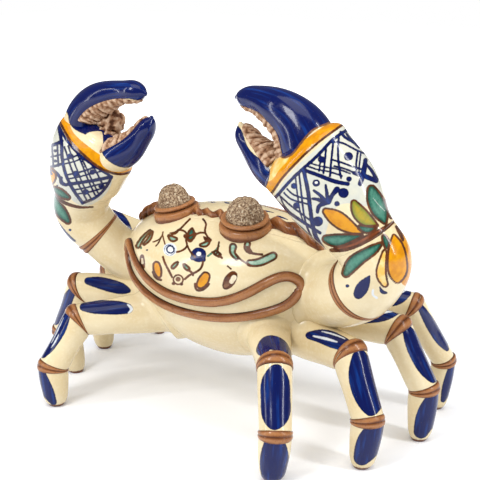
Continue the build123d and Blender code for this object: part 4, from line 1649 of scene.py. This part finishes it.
def leg(side, place, name):
    """Thigh, shin and foot, with double collars over the knee and the ankle."""
    row = leg_place_shares[side][place]
    radius = leg_radius * leg_thickness_shares[place]
    x, y, z = row[0]
    hip = np.array((x * body_width / 2, body_setback + y * body_depth / 2, z * rim_height))
    knee, ankle, sole = (
        np.array((x * stance_width / 2, y * stance_depth / 2, z * knee_height)) for x, y, z in row[1:]
    )
    ways = (unit(knee - hip), unit(ankle - knee), unit(sole - ankle))
    side_axis = unit(np.cross(ways[0], ways[1]))
    knee_turn, ankle_turn = unit(ways[0] + ways[1]), unit(ways[1] + ways[2])
    knee_size, ankle_size = radius * knee_share, radius * ankle_share
    at_knee = (knee, knee_turn, knee_size / (knee_turn @ ways[0]), knee_size)
    at_ankle = (ankle, ankle_turn, ankle_size / (ankle_turn @ ways[1]), ankle_size)
    at_sole = (sole, -up, sole_share * radius, sole_share * radius)
    thigh = Limb([*round_rows(hip, knee, radius, thigh_shares), at_knee], side_axis)
    shin = Limb([at_knee, *round_rows(knee, ankle, radius, shin_shares), at_ankle], side_axis)
    foot = Limb([at_ankle, *round_rows(ankle, sole, radius, foot_shares), at_sole], side_axis)
    for part, limb, fillet in (("thigh", thigh, root_fillet), ("shin", shin, 0.0), ("foot", foot, 0.0)):
        marks = leg_marks.get((side, name, part))
        node = f"{side}_{name}_{part}"
        limb_piece(node, "limb_glaze", limb, 0, limb.length, column_step, marks, leg_wrap, fillet)
    shape = Shape()
    add_collar(shape, thigh, shin, knee_collar_widths)
    add_collar(shape, shin, foot, ankle_collar_widths)
    shape.write(f"{side}_{name}_leg_collars", "brown_glaze")


# Eye rings: depth of the foot, height at which the lower roll gives way to the upper one,
# rows of the profile, and passes that smooth it
ring_foot = 8.0
ring_meeting = 2.0
ring_rows = 70
ring_smoothing = 24
eye_columns = 120
# How far the painted shade of a ring's groove and of its foot reaches before the colour clears
ring_groove_shade = 1.4
ring_foot_shade = 2.5
ring_foot_rise = 1.0
# Dome: depth of its foot, gap to the ring, radius at its tip, and rows
dome_foot = 6.0
dome_gap = 0.2
dome_tip = 0.4
dome_rows = 60
# Lumps of rings and domes: height, and how often they turn per millimetre
ring_lumps = (0.35, 0.12)
dome_lumps = (0.5, 0.55)
lump_middle_depth = 2.0


def lathed(profile, seat, axis, lumps):
    """Rings from a profile of distances and heights turned about an axis, then made lumpy."""
    beside = unit(np.cross(across, axis))
    third = np.cross(axis, beside)
    angle = round_turns(eye_columns)
    circle = np.cos(angle)[:, None] * beside + np.sin(angle)[:, None] * third
    rings = seat + profile[:, None, :1] * circle[None] + profile[:, None, 1:2] * axis
    height, size = lumps
    shake = lumpiness(rings, size) + 0.6 * lumpiness(rings, size * 2.7)
    away = unit(rings - (seat - axis * lump_middle_depth))
    return trimmed(rings + away * (height * shake)[..., None])


def ring_profile(radius):
    """Two rolls one above the other, smoothed together, with the measure along them."""
    turn = np.linspace(-0.5, np.pi / 2 + 0.9, 14)
    outward = radius + eye_lower_lip / 2 + eye_lower_lip * np.cos(turn)
    low = np.stack((outward, eye_lower_lip * np.sin(turn)), 1)
    turn = np.linspace(-0.3, np.pi, 14)
    outward = radius + eye_upper_lip / 2 + eye_upper_lip * np.cos(turn)
    above = eye_lower_lip + eye_upper_lip / 6 + eye_upper_lip * np.sin(turn)
    outline = np.concatenate((
        [(radius * 0.8, -ring_foot), (radius + eye_lower_lip * 1.5, -ring_foot)],
        low[low[:, 1] < ring_meeting],
        np.stack((outward, above), 1),
        [(radius * 0.8, eye_lower_lip)],
    ))
    measure = chord_measure(outline)
    even = np.linspace(0, measure[-1], ring_rows)
    profile = between_rows(even, measure, outline)
    for _ in range(ring_smoothing):
        profile[1:-1] = (profile[:-2] + 2 * profile[1:-1] + profile[2:]) / 4
    return profile, even


def eye(side, sign):
    """A double ring round a gritty dome."""
    radius = eye_radius * eye_size_shares[side]
    foot_point = on_face(sign * eye_spreads[side], eye_rises[side])
    axis = unit(unit(body_outward(foot_point)) * eye_tilt + up * (1 - eye_tilt))
    seat = foot_point + axis * eye_lifts[side]
    profile, along = ring_profile(radius)
    # The ring is painted darker at the groove between its rolls and towards its foot, as painted shade
    from_groove = np.abs(profile[:, 1] - eye_lower_lip * 0.85)
    crest = 0.62 + 0.38 * np.clip(from_groove / ring_groove_shade, 0, 1)
    crest = crest * np.clip(1 + (profile[:, 1] + ring_foot_rise) / ring_foot_shade, 0.3, 1)
    rings = lathed(profile, seat, axis, ring_lumps)
    size = rings.shape[:2]
    round_it = np.broadcast_to(round_turns(eye_columns) * radius, size)
    grain = np.stack((round_it, np.broadcast_to(along[:, None], size), rings[..., 2]), -1)
    layers = {"crest": np.broadcast_to(crest[:, None], size), "grain": grain}
    write_tube(f"{side}_eye_ring", "brown_glaze", rings, layers)

    turn = np.linspace(0, 1, dome_rows)[1:-1] * np.pi / 2
    height = eye_tops[side] - eye_lifts[side]
    dome = np.stack((
        (radius - dome_gap) * np.cos(turn) ** 0.72,
        eye_lower_lip + height * np.sin(turn) ** 1.15,
    ), 1)
    profile = np.concatenate(([(radius - dome_gap, -dome_foot)], dome, [(dome_tip, eye_lower_lip + height)]))
    write_tube(f"{side}_eye", "grit", lathed(profile, seat, axis, dome_lumps), {})


def face():
    """Three brows along the ridge of the body, and the two lips."""
    brow_foot = eye_radius + eye_lower_lip
    right_start = eye_spreads["right"] + brow_foot - brow_overlap
    left_start = eye_spreads["left"] + brow_foot
    middle = (eye_spreads["right"] - eye_spreads["left"]) / 2
    between_eyes = (eye_spreads["right"] + eye_spreads["left"]) / 2
    for name, sign, shares, start, reach in (
        ("right", 1, brow_shares, right_start, body_width / 2 - right_start),
        ("left", -1, brow_shares, left_start, body_width / 2 - left_start),
        ("middle", 1, middle_brow_shares, middle, between_eyes),
    ):
        twist, grooves, rise, lift, size = brow_forms[name]
        points = [on_crown(sign * (start + along * reach), height + rise) for along, height, _ in shares]
        points = [point + unit(body_outward(point)) * lift for point in points]
        radii = [brow_radius * swell * size for _, _, swell in shares]
        turns = [sign * brow_twist * i * twist for i in range(len(shares))]
        coil_piece(f"{name}_brow", points, radii, brow_flat_share, turns, grooves)
    for node, half in (
        ("upper_lip", (lip_hook_share, lip_corner_share, *reversed(upper_lip_shares))),
        ("lower_lip", (lip_corner_share, *lower_lip_shares)),
    ):
        mirrored = [(-x, z) for x, z in reversed(half[:-1])]
        points = [on_face(x * body_width / 2, z * bowl_depth) for x, z in (*half, *mirrored)]
        coil_piece(node, points, [lip_radius] * len(points), 1.0, [0.0] * len(points), 0.0)


body()
for side, sign in sides.items():
    claw(side, sign)
    eye(side, sign)
    for place, name in enumerate(legs):
        leg(side, place, name)
face()


# Lamps: degrees round from the viewpoint and up, distance, width and height, and watts
lamps = {
    "key": (-42, 46, 900, (200, 320), 3.3),
    "left_strip": (-75, 20, 850, (60, 700), 1.6),
    "right_strip": (60, 32, 850, (60, 700), 3.4),
    "top": (10, 82, 900, (600, 600), 2.6),
}


def add_light(name, azimuth, elevation, distance, size, watts):
    """A soft lamp that looks at the middle of the object."""
    way = bearing(photo_azimuth + np.radians(azimuth), np.radians(elevation))
    lamp = bpy.data.lights.new(name, "AREA")
    lamp.shape = "RECTANGLE"
    lamp.size = size[0] * METRES
    lamp.size_y = size[1] * METRES
    lamp.energy = watts
    place_at = Vector((photo_target + way * distance) * METRES)
    piece = new_object(name, lamp)
    piece.location = place_at
    aim = Vector(photo_target * METRES) - place_at
    piece.rotation_euler = aim.to_track_quat("-Z", "Y").to_euler()


# The table's white comes up from faint to full between two distances, for rays that look at it
floor_reach = 2600.0
floor_white_from = 230.0
floor_white_at = 520.0
floor_faint = 0.08
# Strengths of the world for light on the object, in reflections and behind the table
fill_light = 0.64
fill_reflected = 0.2
background_white = 1.0


def add_floor():
    """A white table that fades into the white behind it."""
    mesh = bpy.data.meshes.new("floor")
    half = floor_reach * METRES
    corners = [(-half, -half, 0), (half, -half, 0), (half, half, 0), (-half, half, 0)]
    mesh.from_pydata(corners, [], [(0, 1, 2, 3)])
    floor = new_object("floor", mesh)
    nodes = Nodes(bpy.data.materials.new("floor"))
    distance = nodes.new("ShaderNodeVectorMath", {0: nodes.places()}, operation="LENGTH").outputs["Value"]
    glow = nodes.ramp(distance, floor_white_from, floor_white_at, floor_faint, 1.0)
    seen = nodes.maths("MAXIMUM", nodes.ray("Is Camera Ray"), nodes.ray("Is Glossy Ray"))
    nodes.set("Base Color", linear(table_white))
    nodes.set("Roughness", 0.9)
    nodes.set("Specular IOR Level", 0.1)
    nodes.set("Emission Color", (1.0, 1.0, 1.0, 1.0))
    nodes.set("Emission Strength", nodes.maths("MULTIPLY", glow, seen))
    floor.data.materials.append(nodes.owner)


def add_world():
    """Even white light, white also where the camera looks past the table."""
    world = bpy.data.worlds.new("studio")
    bpy.context.scene.world = world
    nodes = Nodes(world, "Background")
    light = {"Value": nodes.ray("Is Glossy Ray"), "To Min": fill_light, "To Max": fill_reflected}
    lit = nodes.new("ShaderNodeMapRange", light).outputs["Result"]
    shown = {"Factor": nodes.ray("Is Camera Ray"), "A": lit, "B": background_white}
    nodes.set("Color", (1.0, 1.0, 1.0, 1.0))
    nodes.set("Strength", nodes.new("ShaderNodeMix", shown).outputs["Result"])


def add_camera():
    """The photographer's view: its axes and its place make the camera's matrix."""
    camera = bpy.data.cameras.new("camera")
    camera.sensor_width = sensor_width
    camera.lens = photo_focal / photo_pixels * sensor_width
    camera.clip_start = 0.01
    piece = new_object("camera", camera)
    matrix = Matrix.Identity(4)
    for column, axis in enumerate((view_right, view_up, view_back)):
        for row in range(3):
            matrix[row][column] = axis[row]
    for row in range(3):
        matrix[row][3] = viewpoint[row] * METRES
    piece.matrix_world = matrix
    bpy.context.scene.camera = piece


for name, lamp_values in lamps.items():
    add_light(name, *lamp_values)
add_floor()
add_world()
add_camera()
bpy.context.scene.view_settings.view_transform = "Standard"
